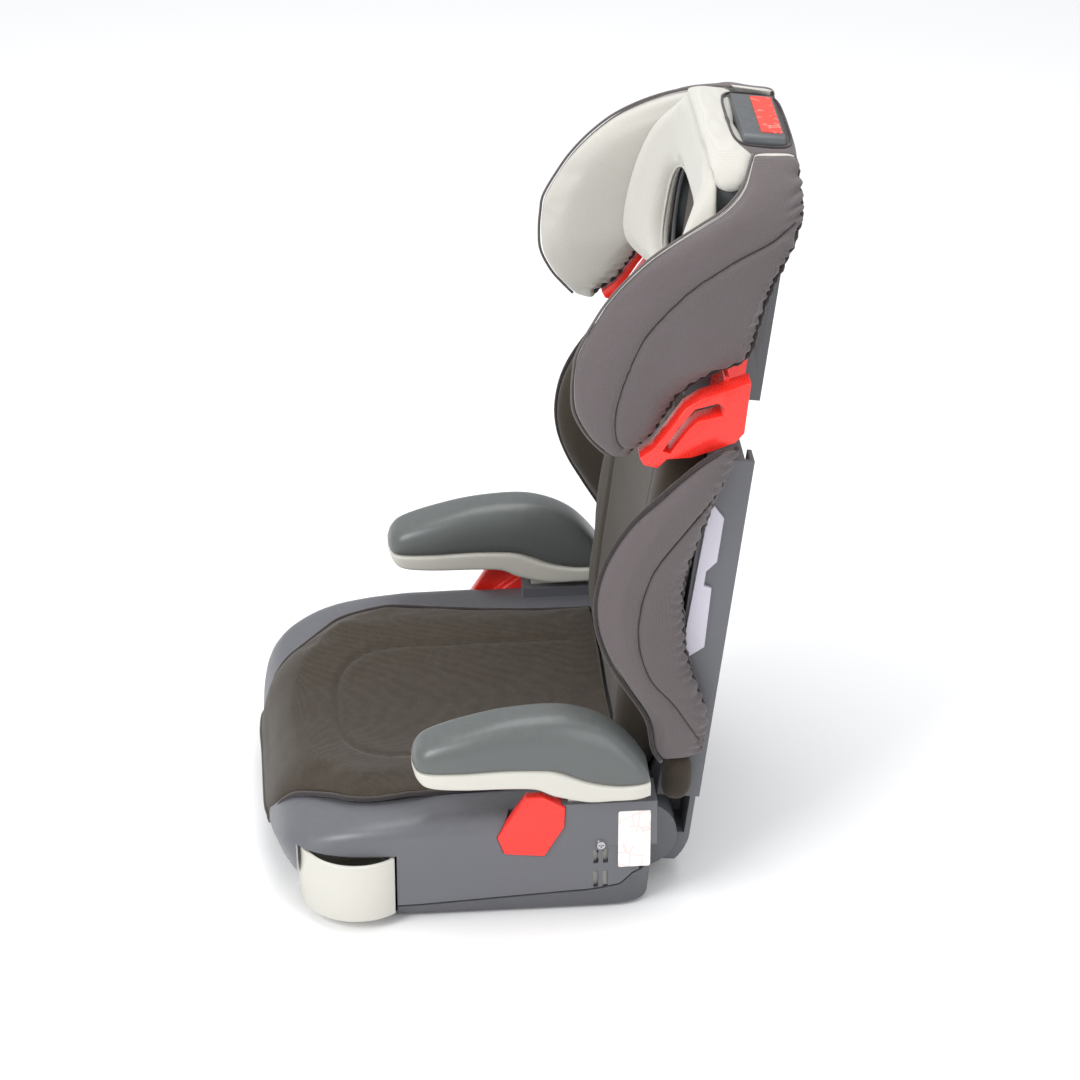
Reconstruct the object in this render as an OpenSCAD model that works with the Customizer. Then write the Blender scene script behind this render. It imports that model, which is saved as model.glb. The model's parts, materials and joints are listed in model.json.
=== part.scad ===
// High-back booster seat. Origin: centre of the base's underside. +Z up, the seat faces -Y.
// Left parts lie on +X, the left hand of a child who sits in the seat.

/* [Base] */
// Width of the base across the armrest towers
base_w = 412; // [380:1:450]
// Distance from the origin to the front edge of the base
base_front = 172; // [150:1:200]
// Distance from the origin to the rear face of the base
base_rear = 162; // [160:1:180]
// Height of the seat rim
base_h = 104; // [98:1:125]
// Depth of the dished seat below its rim
dish_depth = 27; // [18:1:32]
// Wall of the base moulding
base_wall = 3.5; // [2.5:0.5:5]
// Height of the bottom tray
tray_h = 18; // [14:1:22]
// Radius of the rim's shoulder
shoulder_r = 22; // [14:1:28]
// Top of the towers that hold the armrests
tower_h = 114; // [108:1:135]

/* [Seat pad] */
// Half width of the seat pad
pad_half_w = 170; // [150:1:180]
// Thickness of the seat pad
pad_t = 13; // [8:1:18]

/* [Backrest] */
// Height of the hinge axis above the floor
hinge_z = 48; // [46:1:56]
// Distance of the hinge axis behind the origin
hinge_y = 152; // [150:1:158]
// Lean of the backrest from the vertical, degrees
lean = 7; // [4:0.5:12]
// Radius of the rounded beam that the backrest hooks around
beam_r = 33; // [30:1:34]
// Radius of the steel hinge rod
rod_r = 6; // [5:0.5:7]
// Width of the back shell
shell_w = 300; // [270:2:310]
// Depth of the back shell's ribs
shell_depth = 38; // [32:1:40]
// Width of the back shell's neck, which the headrest slides on
neck_w = 172; // [150:2:184]
// Length of the back shell from the hinge axis to its top
back_len = 600; // [560:5:660]

/* [Headrest] */
// Travel of the headrest
head_travel = 168; // [112:28:168]
// Distance between two headrest stops
stop_pitch = 28; // [24:1:32]
// Height of the headrest above its lower edge
head_h = 222; // [205:1:240]
// Half width of the headrest across the wings' edges
head_half_w = 158; // [150:1:168]

/* [Armrests] */
// Distance of an armrest's centre line from the middle
arm_x = 190; // [184:1:196]
// Width of an armrest
arm_w = 55; // [44:1:58]
// Front tip of an armrest, in front of the origin
arm_front = 49; // [30:1:70]
// Rear end of an armrest, behind the origin
arm_rear = 155; // [140:1:156]
// Top of an armrest above the floor
arm_top = 201; // [180:1:215]
// Height that an armrest can be raised by
arm_lift = 30; // [20:1:34]

/* [Cup holders] */
// Length of a cup holder along the seat
cup_len = 82; // [74:1:86]
// Height of a cup holder
cup_h = 56; // [48:1:60]
// Depth of a cup holder into the base
cup_depth = 96; // [84:1:104]
// Radius of the rounded outer face
cup_r = 50; // [46:1:54]
// Wall of a cup holder
cup_wall = 4; // [3:0.5:6]
// Travel of a cup holder into the base
cup_in = 6; // [4:1:10]

/* [Fits] */
// Gap between parts that slide on each other
slide_gap = 0.6; // [0.4:0.1:1]
// Gap between the hinge rod and the hooks
rod_gap = 0.08; // [0.05:0.01:0.1]
// Gap between parts that are screwed together
seat_gap = 0.2; // [0.1:0.1:0.4]

/* [Hidden] */

$fn = 48;
ring_n = 40;
half_w = base_w / 2;
hinge_x = 158;
leg_clear = 0.8;
leg_t = 12;
leg_r = beam_r + leg_clear + leg_t;
sweep_r = leg_r + 1.5;

// dish: a round trough along the seat, lowest on the middle line
dish_half = half_w - shoulder_r - 14;
dish_r = (dish_half * dish_half + dish_depth * dish_depth) / (2 * dish_depth);
dish_z = base_h - dish_depth;
function dish_at(x) = dish_z + dish_r - sqrt(dish_r * dish_r - x * x);

// armrest tower wells
well_x = arm_x - 1;
well_w = 24;
well_y0 = 84;
well_y1 = 152;
well_z = 22;
leg_y = 113;
leg_w = 20;
screw_z = 72;
screw_r = 2.5;

// cup pockets
cup_y = -107;
cup_z = 11;
cup_x1 = half_w + 12;
cup_mid_y = cup_y + 10;
pocket_gap = 2;

// backrest frame: v runs rearward, w runs up along the lean
web_v = 11;
web_t = 4;
shell_v1 = web_v + shell_depth;
shell_w0 = 42;
neck_w0 = 372;
neck_depth = 30;
wall_t = 4;
hook_x = 100;
hook_t = 12;
hook_r = 14;

// headrest
head_w0 = 400;
sleeve_gap = 2;
sleeve_x = neck_w / 2 + sleeve_gap;
sleeve_v0 = -6;
sleeve_v1 = shell_v1 + 5;
sleeve_t = 3;
bar_w = head_w0 + 18;
bar_r = 3;
notch_deep = 7;
rack_x = 24;
rack_v1 = web_v + neck_depth;
arch_x = 84;
arch_w0 = 446;
arch_w1 = 552;
arch_r = 50;
handle_w0 = head_w0 + head_h - 19;
handle_h = 20;
handle_half = 48;
carrier_w1 = head_w0 + head_h - 26;

function pw(c, p) = sign(c) * pow(abs(c), p);

// value of a list of rows at u = 0 to 1, on a smooth curve through the rows
function spline(rows, u) =
    let (n = len(rows) - 1,
         s = min(max(u, 0), 1) * n,
         i = min(floor(s), n - 1),
         t = s - i,
         a = rows[max(i - 1, 0)], b = rows[i], c = rows[i + 1], d = rows[min(i + 2, n)])
    b + 0.5 * t * (c - a + t * (2 * a - 5 * b + 4 * c - d + t * (3 * (b - c) + d - a)));

function smooth_rows(rows, n) = [for (k = [0:n]) spline(rows, k / n)];

// closed skin through rings that have the same number of points
module loft(rings) {
    n = len(rings[0]);
    m = len(rings);
    polyhedron(
        points = [for (r = rings) each r],
        faces = concat(
            [[for (i = [0:n - 1]) i]],
            [for (k = [0:m - 2], i = [0:n - 1])
                [k * n + i, (k + 1) * n + i, (k + 1) * n + (i + 1) % n, k * n + (i + 1) % n]],
            [[for (i = [n - 1:-1:0]) (m - 1) * n + i]]
        )
    );
}

module mirror_to(side) {
    if (side > 0) children();
    else mirror([1, 0, 0]) children();
}

module back_frame() {
    translate([0, hinge_y, hinge_z]) rotate([-lean, 0, 0]) children();
}

// rounded rectangle in XY as one outline, so that its walls stay exact
module round_rect(x0, y0, x1, y1, r) {
    polygon([
        for (q = [0:3], k = [0:6])
            let (a = q * 90 + k * 15,
                 cx = (q == 0 || q == 3) ? x1 - r : x0 + r,
                 cy = (q < 2) ? y1 - r : y0 + r)
            [cx + r * cos(a), cy + r * sin(a)]
    ]);
}

module block(a, b) {
    translate(a) cube([b[0] - a[0], b[1] - a[1], b[2] - a[2]]);
}

// ---------------------------------------------------------------- base

// outline of the base at a height: square behind, rounded corners in front that turn rounder towards the rim
function plan_ring(z, inset, front_in) =
    let (yc = -20, hx = half_w - inset)
    [for (i = [0:ring_n - 1])
        let (a = (i + 0.5) * 360 / ring_n,
             rear = sin(a) > 0,
             e = rear ? 0.14 : lookup(z, [[66, 0.4], [base_h, 0.66]]),
             ry = rear ? base_rear - inset * 0.3 - yc : base_front - front_in + yc)
        [hx * pw(cos(a), e), yc + ry * pw(sin(a), e), z]];

function chin(z) = 26 * pow(max(62 - z, 0) / 44, 2);

// the shell's top slopes down towards its front edge: [distance from the front, drop below the rim]
brow_rows = [
    [-8, -70], [0, -62], [2, -54], [7, -44], [12, -37], [17, -32], [22, -28], [27, -25],
    [42, -19.5], [57, -14], [72, -10], [92, -7], [122, -4], [152, -2], [192, 0]
];
function brow(y) = base_h + lookup(y + base_front, brow_rows);

module under_brow(grow) {
    rotate([90, 0, 90]) translate([0, 0, -half_w - 5]) linear_extrude(base_w + 10)
        polygon(concat(
            [for (r = brow_rows) [r[0] - base_front, base_h + r[1] + grow]],
            [[base_rear + 30, base_h + 5], [base_rear + 30, -2], [-base_front - 8, -2]]
        ));
}

module base_form(grow) {
    intersection() {
        bulging_form(grow);
        under_brow(grow);
    }
}

module bulging_form(grow) {
    r = shoulder_r;
    loft(concat(
        [for (z = [tray_h, 40, base_h - r]) plan_ring(z, -grow, chin(z) - grow)],
        [for (k = [1:4])
            let (a = k * 22.5, inset = (r + grow) * (1 - cos(a)) - grow)
            plan_ring(base_h - r + (r + grow) * sin(a), inset, inset)]
    ));
}

module dish_cut(up) {
    translate([0, -base_front - 40, dish_z + dish_r + up])
        rotate([-90, 0, 0]) cylinder(r = dish_r, h = base_front + 40 + base_rear + 40, $fn = 180);
}

module cup_pocket_box(grow) {
    block([half_w - cup_depth - cup_in - grow, cup_y - cup_len / 2 - pocket_gap - grow, cup_z - pocket_gap - grow],
          [half_w + 30, cup_y + cup_len / 2 + pocket_gap + grow, cup_z + cup_h + pocket_gap + grow]);
}

module well_box(grow) {
    block([well_x - well_w / 2 - grow, well_y0 - grow, well_z - 4 - grow],
          [well_x + well_w / 2 + grow, well_y1 + grow, tower_h + 1]);
}

// outline of the lap belt guide on the side wall, in Y and Z
lap_pts = [[23, 84], [29, 67], [64, 63], [81, 92], [82, 112], [62, 124], [48, 124]];
lap_mid = [52, 94];
lap_x0 = half_w - 16;
lap_x1 = half_w + 2;
function grown(pts, mid, k) = [for (p = pts) mid + (p - mid) * k];

module lap_guide_form(k, x0, x1) {
    translate([x0, 0, 0]) rotate([90, 0, 90]) linear_extrude(x1 - x0) polygon(grown(lap_pts, lap_mid, k));
}

tray_points = [[100, -95], [140, 20], [90, 92]];

module beam() {
    translate([-hinge_x, hinge_y, hinge_z]) rotate([0, 90, 0]) cylinder(r = beam_r, h = 2 * hinge_x, $fn = 96);
}

// room that the backrest's legs and hooks sweep through
module leg_sweep() {
    difference() {
        union() {
            block([-hinge_x - 1, hinge_y - beam_r - 1, -5], [hinge_x + 1, base_rear + 60, hinge_z - 8]);
            block([-hinge_x - 1, hinge_y - beam_r + 12, hinge_z - 9], [hinge_x + 1, base_rear + 60, base_h + 20]);
        }
        intersection() {
            translate([-hinge_x - 2, hinge_y, hinge_z]) rotate([0, 90, 0])
                cylinder(r = beam_r, h = 2 * hinge_x + 4, $fn = 96);
            block([-hinge_x - 2, 0, 0], [hinge_x + 2, base_rear + 60, base_h]);
        }
    }
    for (s = [-1, 1])
        translate([s * (hook_x + hook_t / 2) - hook_t / 2 - slide_gap, hinge_y, hinge_z])
            rotate([0, 90, 0]) cylinder(r = sweep_r, h = hook_t + 2 * slide_gap, $fn = 96);
}

module side_windows() {
    for (dy = [-4.2, 4.2], z = [[27, 44], [52, 66]])
        block([half_w - 12, leg_y + dy - 2.2, z[0]], [half_w + 2, leg_y + dy + 2.2, z[1]]);
}

module tower() {
    translate([0, 0, 60]) linear_extrude(tower_h - 60)
        round_rect(well_x - well_w / 2 - 8, well_y0 - 8, half_w, base_rear, 5);
}

module base_shell() {
    color("#626266")
    difference() {
        union() {
            difference() {
                base_form(0);
                dish_cut(0);
            }
            for (s = [-1, 1]) mirror_to(s) tower();
            beam();
        }
        difference() {
            translate([0, 0, -0.5]) base_form(-base_wall);
            dish_cut(-base_wall);
            for (s = [-1, 1]) mirror_to(s) {
                cup_pocket_box(base_wall);
                well_box(base_wall);
                for (p = tray_points)
                    translate([p[0], p[1], tray_h - 1]) cylinder(r = 5, h = base_h);
            }
            block([-hinge_x - 14, hinge_y - beam_r - 5, tray_h - 2], [hinge_x + 14, base_rear, base_h]);
        }
        for (s = [-1, 1]) mirror_to(s) {
            cup_pocket_box(0);
            well_box(0);
            side_windows();
            lap_guide_form(1.012, lap_x0 - seat_gap, half_w + 20);
            translate([half_w - 14, leg_y, screw_z]) rotate([0, 90, 0]) cylinder(r = screw_r + 0.3, h = 30);
            for (p = tray_points)
                translate([p[0], p[1], tray_h - 2]) cylinder(r = 2, h = 22);
        }
        leg_sweep();
        translate([-hinge_x - 13, hinge_y, hinge_z]) rotate([0, 90, 0])
            cylinder(r = rod_r + 0.05, h = 2 * hinge_x + 26);
        rear_chamfer();
    }
}

// sloping cut under the rear edge
module rear_chamfer() {
    translate([-half_w - 2, base_rear - 50, 6]) rotate([30, 0, 0])
        translate([0, 0, -40]) cube([base_w + 4, 90, 40]);
}

module tray_form() {
    loft([
        plan_ring(0, 14, 54),
        plan_ring(4, 8, 46),
        plan_ring(tray_h - seat_gap, 1.5, chin(tray_h) + 2)
    ]);
}

tray_wall = 3;

module base_tray() {
    color("#5a5a5e")
    difference() {
        tray_form();
        difference() {
            translate([0, 0, tray_wall]) linear_extrude(tray_h)
                round_rect(-half_w + 20, -base_front + 60, half_w - 20, hinge_y - beam_r - 30, 40);
            for (s = [-1, 1], p = tray_points)
                translate([s * p[0], p[1], -1]) cylinder(r = 8, h = tray_h);
        }
        block([-hinge_x - 1, hinge_y - beam_r - 20, -1], [hinge_x + 1, base_rear + 20, tray_h + 1]);
        for (s = [-1, 1]) mirror_to(s) {
            cup_pocket_box(0);
            for (p = tray_points) translate([p[0], p[1], 0]) {
                translate([0, 0, -1]) cylinder(r = 2.4, h = tray_h + 2);
                translate([0, 0, -1]) cylinder(r = 5, h = 6);
            }
        }
        rear_chamfer();
    }
}

module tray_screws() {
    color("silver")
    for (s = [-1, 1], p = tray_points)
        translate([s * p[0], p[1], 0]) {
            translate([0, 0, 2]) cylinder(r = 4, h = 3);
            translate([0, 0, 4]) cylinder(r = 1.9, h = tray_h + 12);
        }
}

module hinge_rod() {
    color("silver") translate([-hinge_x - 12.5, hinge_y, hinge_z]) rotate([0, 90, 0])
        cylinder(r = rod_r, h = 2 * hinge_x + 25);
}

// seat pad: follows the dish, with a skirt that wraps down over the front edge
// rows: [y, share of the half width, drop of the underside, crown of the top at the skirt]
pad_rear = hinge_y - beam_r + 10;
pad_rows = [
    [-base_front - 5, 0.53, -4, -8], [-base_front, 0.57, -8, 6], [-base_front + 1.4, 0.58, 5, 8],
    [-base_front + 12, 0.625, 0, 0],
    [-base_front + 27, 0.69, 0, 0], [-base_front + 42, 0.76, 0, 0], [-base_front + 57, 0.83, 0, 0],
    [-base_front + 72, 0.905, 0, 0], [-base_front + 92, 0.945, 0, 0], [-base_front + 122, 0.955, 0, 0],
    [-10, 0.93, 0, 0], [40, 0.9, 0, 0], [80, 0.885, 0, 0], [pad_rear, 0.88, 0, 0]
];
function pad_floor(x, y) = min(dish_at(x), brow(y));
// the pad lies on the dish and stays further off the slope in front of it
function pad_gap(x, y) = dish_at(x) < brow(y) - 10 ? seat_gap + 0.6 : seat_gap + 2.6;

function pad_ring(row) =
    let (n = 12, hw = pad_half_w * row[1], y = row[0])
    concat(
        [for (i = [0:n]) let (x = hw * (2 * i / n - 1))
            [x, y, pad_floor(x, y) + 1 + row[3] + pad_t * pow(max(1 - pow(abs(x) / (hw + 3), 6), 0.04), 0.5)]],
        [for (i = [n:-1:0]) let (x = hw * (2 * i / n - 1))
            [x, y, pad_floor(x, y) + pad_gap(x, y) + row[2]]]
    );

module seat_pad() {
    color("#4a4136") loft([for (r = pad_rows) pad_ring(r)]);
}

module lap_guide(side) {
    color("#f53b34") mirror_to(side)
    difference() {
        lap_guide_form(1, lap_x0, lap_x1);
        // belt ramp: the inner upper face slopes up towards the armrest
        translate([lap_x0 - 1, 20, 70]) rotate([36, 0, 0]) translate([0, -10, 4]) cube([9, 90, 60]);
    }
}

module side_label() {
    color("#efece6") translate([half_w, 0, 0]) rotate([90, 0, 90])
        linear_extrude(0.8) round_rect(128, 48, 156, 105, 2);
}

// ---------------------------------------------------------------- armrests

// [y, z of the parting line, z of the top, half width]
arm_rows = [
    [-arm_front, 160, 164, 7], [-arm_front + 4, 157, 172, 18], [-arm_front + 14, 157, arm_top - 21, 24],
    [-8, 158, arm_top - 12, arm_w / 2], [30, 159, arm_top - 3, arm_w / 2], [72, 156, arm_top, arm_w / 2],
    [100, 144, arm_top - 5, arm_w / 2 - 0.5], [124, 138, arm_top - 18, arm_w / 2 - 1.5],
    [143, 137, arm_top - 39, arm_w / 2 - 3], [arm_rear - 1, 137, 143, arm_w / 2 - 7]
];

function arm_ring(y, z0, z1, hw) =
    [for (i = [0:23])
        let (a = i * 15, c = cos(a), up = c > 0, e = up ? 0.75 : 0.25)
        [hw * pw(sin(a), up ? 0.62 : 0.25), y, z0 + (up ? (z1 - z0) * pw(c, e) : 0) + (up ? 0 : c * 0.4)]];

module armrest_cap(side) {
    color("#646766") mirror_to(side) translate([arm_x, 0, 0])
    difference() {
        loft([for (r = smooth_rows(arm_rows, 22)) arm_ring(r[0], r[1] + 0.6, max(r[2], r[1] + 2), r[3])]);
        for (y = cap_screw_y) translate([0, y, 130]) cylinder(r = 1.5, h = 42);
    }
}

cap_screw_y = [-14, 36];

// [y, z of the lower edge, z of the parting line, half width]
rim_rows = [
    [-arm_front, 155, 160, 7], [-arm_front + 4, 147, 156.6, 18.5], [-arm_front + 14, 141, 156.6, 25],
    [-8, 139, 157.6, arm_w / 2 + 0.5], [30, 138, 158.6, arm_w / 2 + 0.5], [56, 136, 157.6, arm_w / 2 + 0.5],
    [72, 128, 155.6, arm_w / 2 + 0.5], [100, 121, 143.6, arm_w / 2 + 0.5], [124, 121, 137.6, arm_w / 2],
    [143, 121, 136.6, arm_w / 2 - 1], [arm_rear, 122, 136.6, arm_w / 2 - 5]
];

function rim_ring(y, z0, z1, hw) =
    [for (i = [0:15])
        let (a = i * 22.5 + 11.25, c = cos(a))
        [hw * pw(sin(a), 0.3), y, (z0 + z1) / 2 + (z1 - z0) / 2 * pw(c, 0.3) / pw(cos(11.25), 0.3)]];

module armrest_frame(side) {
    color("#cac8c0") mirror_to(side) translate([arm_x, 0, 0])
    difference() {
        union() {
            loft([for (r = smooth_rows(rim_rows, 20)) rim_ring(r[0], r[1], r[2] - 0.6, r[3])]);
            // post and leg that slide in the tower
            block([-well_w / 2 - 1 + slide_gap, well_y0 + slide_gap, 64], [well_w / 2 - 1 - slide_gap, well_y1 - slide_gap, 132]);
            block([-well_w / 2 + 3, leg_y - leg_w / 2, well_z], [well_w / 2 - 1 - slide_gap, leg_y + leg_w / 2, 66]);
        }
        // hollow post
        block([-well_w / 2 + 2, well_y0 + 4, 50], [well_w / 2 - 4, leg_y - leg_w / 2 - 3, 116]);
        block([-well_w / 2 + 2, leg_y + leg_w / 2 + 3, 50], [well_w / 2 - 4, well_y1 - 4, 116]);
        // slot that lets the armrest rise past its screw
        hull() for (z = [screw_z, screw_z - arm_lift])
            translate([-30, leg_y, z]) rotate([0, 90, 0]) cylinder(r = screw_r + slide_gap, h = 60, $fn = 32);
        for (y = cap_screw_y) translate([0, y, 120]) {
            cylinder(r = 1.9, h = 50);
            cylinder(r = 4.2, h = 30);
        }
    }
}

module cap_screws(side) {
    color("silver") mirror_to(side) translate([arm_x, 0, 0])
        for (y = cap_screw_y) translate([0, y, 147]) {
            cylinder(r = 3.8, h = 2.8);
            cylinder(r = 1.45, h = 22);
        }
}

module armrest_screw(side) {
    color("silver") mirror_to(side)
    difference() {
        union() {
            translate([half_w - 24, leg_y, screw_z]) rotate([0, 90, 0]) cylinder(r = screw_r, h = 25);
            translate([half_w + seat_gap, leg_y, screw_z]) rotate([0, 90, 0]) cylinder(r1 = 4.8, r2 = 3.6, h = 2.4);
        }
        for (a = [0, 90])
            translate([half_w + 2.2, leg_y, screw_z]) rotate([a, 0, 0]) cube([2.4, 1, 5], center = true);
    }
}

// ---------------------------------------------------------------- cup holders

// plan of a cup holder: a straight box whose outer face is a round arc
module cup_plan(inset, x0, x1) {
    intersection() {
        round_rect(x0 + inset, cup_y - cup_len / 2 + inset, x1 - inset + 20, cup_y + cup_len / 2 - inset, 8);
        union() {
            translate([x0 - 1, cup_y - cup_len]) square([x1 - cup_r - x0 + 1, 2 * cup_len]);
            translate([x1 - cup_r, cup_mid_y]) circle(r = cup_r - inset, $fn = 96);
        }
    }
}

module cup_holder(side) {
    x0 = cup_x1 - cup_depth;
    color("#c8c6bc") mirror_to(side)
    difference() {
        translate([0, 0, cup_z]) linear_extrude(cup_h) cup_plan(0, x0, cup_x1);
        translate([0, 0, cup_z + cup_wall]) linear_extrude(cup_h) cup_plan(cup_wall, x0, cup_x1);
    }
}

// ---------------------------------------------------------------- backrest

// curved lower leg that wraps around the beam, in V and W
module leg_plan() {
    difference() {
        circle(r = leg_r, $fn = 96);
        circle(r = beam_r + leg_clear, $fn = 96);
        // keep the arc from 45 degrees below the axis to level with it
        translate([-100, -100]) square([200, 100 - leg_r * 0.62]);
        translate([-100, -100]) square([100 + beam_r * 0.72, 200]);
        translate([-100, 0]) square([200, 200]);
    }
}

module along_x(x0, x1) {
    translate([x0, 0, 0]) rotate([90, 0, 90]) linear_extrude(x1 - x0) children();
}

module hook(side) {
    mirror_to(side) difference() {
        along_x(hook_x, hook_x + hook_t) union() {
            circle(r = hook_r);
            polygon([[0, -9], [leg_r - 4, -14], [leg_r - 4, 14], [0, 12]]);
        }
        translate([hook_x - 1, 0, 0]) rotate([0, 90, 0]) cylinder(r = rod_r + rod_gap, h = hook_t + 2);
        // mouth that snaps over the rod
        translate([hook_x - 1, -30, -rod_r + 1]) cube([hook_t + 2, 30, 2 * rod_r - 2]);
    }
}

rib_rows = [104, 168, 232, 296, 350];
rib_x = [17, 56, 101];

module back_shell() {
    sx = shell_w / 2;
    nx = neck_w / 2;
    color("#606266") back_frame()
    union() {
        // web behind the pad
        block([-sx, web_v, shell_w0], [sx, web_v + web_t, neck_w0]);
        block([-nx, web_v, neck_w0 - 1], [nx, web_v + web_t, back_len]);
        // lower leg and its plates
        along_x(-sx, sx) leg_plan();
        block([-sx, leg_r - 5, -0.5], [sx, leg_r, shell_w0 + 20]);
        block([-sx, web_v, shell_w0 - 4], [sx, leg_r, shell_w0]);
        for (s = [-1, 1]) mirror_to(s) {
            hook(1);
            // outer side wall
            block([sx - wall_t, web_v, shell_w0 - 4], [sx, shell_v1, neck_w0]);
            block([sx - 22, shell_v1 - wall_t, shell_w0 + 10], [sx, shell_v1, neck_w0]);
            // shoulder between the wide part and the neck
            block([nx - 1, web_v, neck_w0 - wall_t], [sx, shell_v1 - 8, neck_w0]);
            // neck walls
            block([nx - wall_t, web_v, neck_w0 - 8], [nx, rack_v1, back_len]);
            // ribs along the back
            for (x = rib_x) block([x, web_v, shell_w0], [x + 3, shell_v1 - 8, neck_w0]);
            block([rib_x[1], web_v, neck_w0 - 1], [rib_x[1] + 3, rack_v1 - 12, back_len]);
        }
        for (w = rib_rows) block([-sx, web_v, w], [sx, shell_v1 - 8, w + 3]);
        block([-nx, web_v, back_len - wall_t], [nx, rack_v1, back_len]);
    }
}

rack_w0 = bar_w - 16;
rack_w1 = back_len - wall_t - seat_gap;
rack_screw_w = [rack_w0 + 8, rack_w1 - 8];

module stop_rack() {
    color("#8a8c90") back_frame()
    difference() {
        block([-rack_x, web_v + web_t + seat_gap, rack_w0], [rack_x, rack_v1, rack_w1]);
        for (k = [0:head_travel / stop_pitch])
            translate([-rack_x - 1, rack_v1 - notch_deep, bar_w - bar_r - 0.5 + k * stop_pitch])
                cube([2 * rack_x + 2, notch_deep + 1, 2 * bar_r + 1]);
        for (w = rack_screw_w, x = [-15, 15])
            translate([x, web_v, w]) rotate([-90, 0, 0]) {
                cylinder(r = 2.1, h = 60);
                translate([0, 0, web_t + 12]) cylinder(r = 4.4, h = 60);
            }
    }
}

module rack_screws() {
    color("silver") back_frame()
    for (w = rack_screw_w, x = [-15, 15])
        translate([x, web_v + web_t + 0.1, w]) rotate([-90, 0, 0]) {
            cylinder(r = 1.9, h = 12.5);
            translate([0, 0, 12.1]) cylinder(r = 4, h = 3);
        }
}

// [w, half width, v of the front at the middle, forward rise at the edges]
pad_v1 = web_v - 0.5;
back_rows = [
    [50, 112, -16, 2], [70, 130, -22, 8], [110, 142, -23, 14], [200, shell_w / 2 - 4, -22, 18],
    [300, shell_w / 2 - 5, -20, 18], [352, 138, -18, 14], [390, 112, -12, 6],
    // narrow upper part over the neck
    [396, neck_w / 2 - 6, -3, 0], [back_len - 8, neck_w / 2 - 6, -3, 0]
];

function back_ring(row) =
    let (n = 10, hw = row[1])
    concat(
        [for (i = [0:n]) let (x = hw * (2 * i / n - 1))
            [x, row[2] - row[3] * pow(abs(x) / hw, 3), row[0]]],
        [[hw, pad_v1, row[0]], [-hw, pad_v1, row[0]]]
    );

module back_pad() {
    color("#4a4136") back_frame() loft([for (r = back_rows) back_ring(r)]);
}

// lens-shaped padded wing between a front edge and a rear edge, in X and V
// rows: [w, v front, v rear, x front, x rear, thickness]
function wing_ring(row) =
    let (f = [row[3], row[1]], r = [row[4], row[2]], d = r - f, l = max(norm(d), 1),
         u = [d[1], -d[0]] / l)
    [for (i = [0:17])
        let (a = i * 20, c = (1 - pw(cos(a), 0.8)) / 2, b = row[5] / 2 * pw(sin(a), 0.8),
             p = f + d * c + u * b)
        [p[0], p[1], row[0]]];

torso_rows = [
    [88, 6, 38, 176, 164, 8], [104, -4, 41, 181, 162, 18], [135, -14, 38, 184, 162, 24], [165, -36, 25, 186, 160, 27],
    [192, -55, 14, 186, 160, 28], [220, -68, 8, 185, 160, 28], [250, -73, 3, 184, 160, 28],
    [284, -69, 6, 183, 160, 28], [320, -53, 14, 182, 160, 26], [352, -28, 20, 181, 162, 22],
    [380, -4, 26, 180, 164, 14], [394, 14, 29, 178, 168, 7]
];

module torso_wing(side) {
    color("#736a6c") back_frame() mirror_to(side)
        loft([for (r = smooth_rows(torso_rows, 26)) wing_ring(r)]);
}

// pale foam panels between the wings and the shell
module side_foam(side) {
    sx = shell_w / 2;
    color("#c9c5cf") back_frame() mirror_to(side)
    difference() {
        translate([sx + 0.3, 0, 0]) rotate([90, 0, 90]) linear_extrude(3.6)
            polygon([[12, 176], [31, 192], [29, 250], [22, 252], [22, 266], [30, 276], [30, 318], [16, 334]]);
        for (w = [210, 300]) translate([sx - 1, 14, w]) rotate([0, 90, 0]) cylinder(r = 1.5, h = 4);
    }
}

// ---------------------------------------------------------------- headrest

// wide rounded window in the headrest
module arch_cut(grow, v0, v1) {
    translate([0, v1, 0]) rotate([90, 0, 0]) linear_extrude(v1 - v0)
        round_rect(-arch_x - grow, arch_w0 - grow, arch_x + grow, arch_w1 + grow, arch_r + grow);
}

head_w1 = head_w0 + head_h;

module head_carrier() {
    x = sleeve_x;
    t = sleeve_t;
    color("#55575b") back_frame()
    difference() {
        union() {
            block([-x - t, sleeve_v0 - t, head_w0 + 30], [x + t, sleeve_v0, carrier_w1]);
            block([-x - t, sleeve_v1, head_w0], [x + t, sleeve_v1 + t, carrier_w1]);
            for (s = [-1, 1]) mirror_to(s)
                block([x, sleeve_v0 - t, head_w0], [x + t, sleeve_v1 + t, carrier_w1]);
            // sockets that guide the latch bar
            for (s = [-1, 1]) mirror_to(s) difference() {
                block([rack_x + 1, rack_v1 + 1, bar_w - 8], [rack_x + 9, sleeve_v1 + 1, bar_w + 8]);
                block([rack_x, rack_v1 - 2, bar_w - bar_r - 0.3], [rack_x + 10, sleeve_v1 - 1, bar_w + bar_r + 0.3]);
            }
            // spring seat
            block([-14, sleeve_v1 - 8, handle_w0 - 36], [14, sleeve_v1 + 1, handle_w0 - 32]);
        }
        arch_cut(2, sleeve_v0 - 20, sleeve_v0 + 3);
        // windows that lighten the rear wall
        for (s = [-1, 1], w = [head_w0 + 44, head_w0 + 104])
            translate([s * 55 - 18, sleeve_v1 - 2, w]) cube([36, t + 4, 46]);
        // way through for the pull rod
        block([-9, sleeve_v1 - 9, handle_w0 - 40], [9, sleeve_v1 - 1, handle_w0]);
        for (s = [-1, 1], w = arm_screw_w, v = arm_screw_v)
            translate([s * (x - 1), v, w]) rotate([0, s * 90, 0]) cylinder(r = 2.2, h = 8);
    }
}

arm_screw_w = [head_w0 + 68, head_w0 + 136];
arm_w1 = head_w0 + 150;
arm_screw_v = [20, 40];

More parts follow.
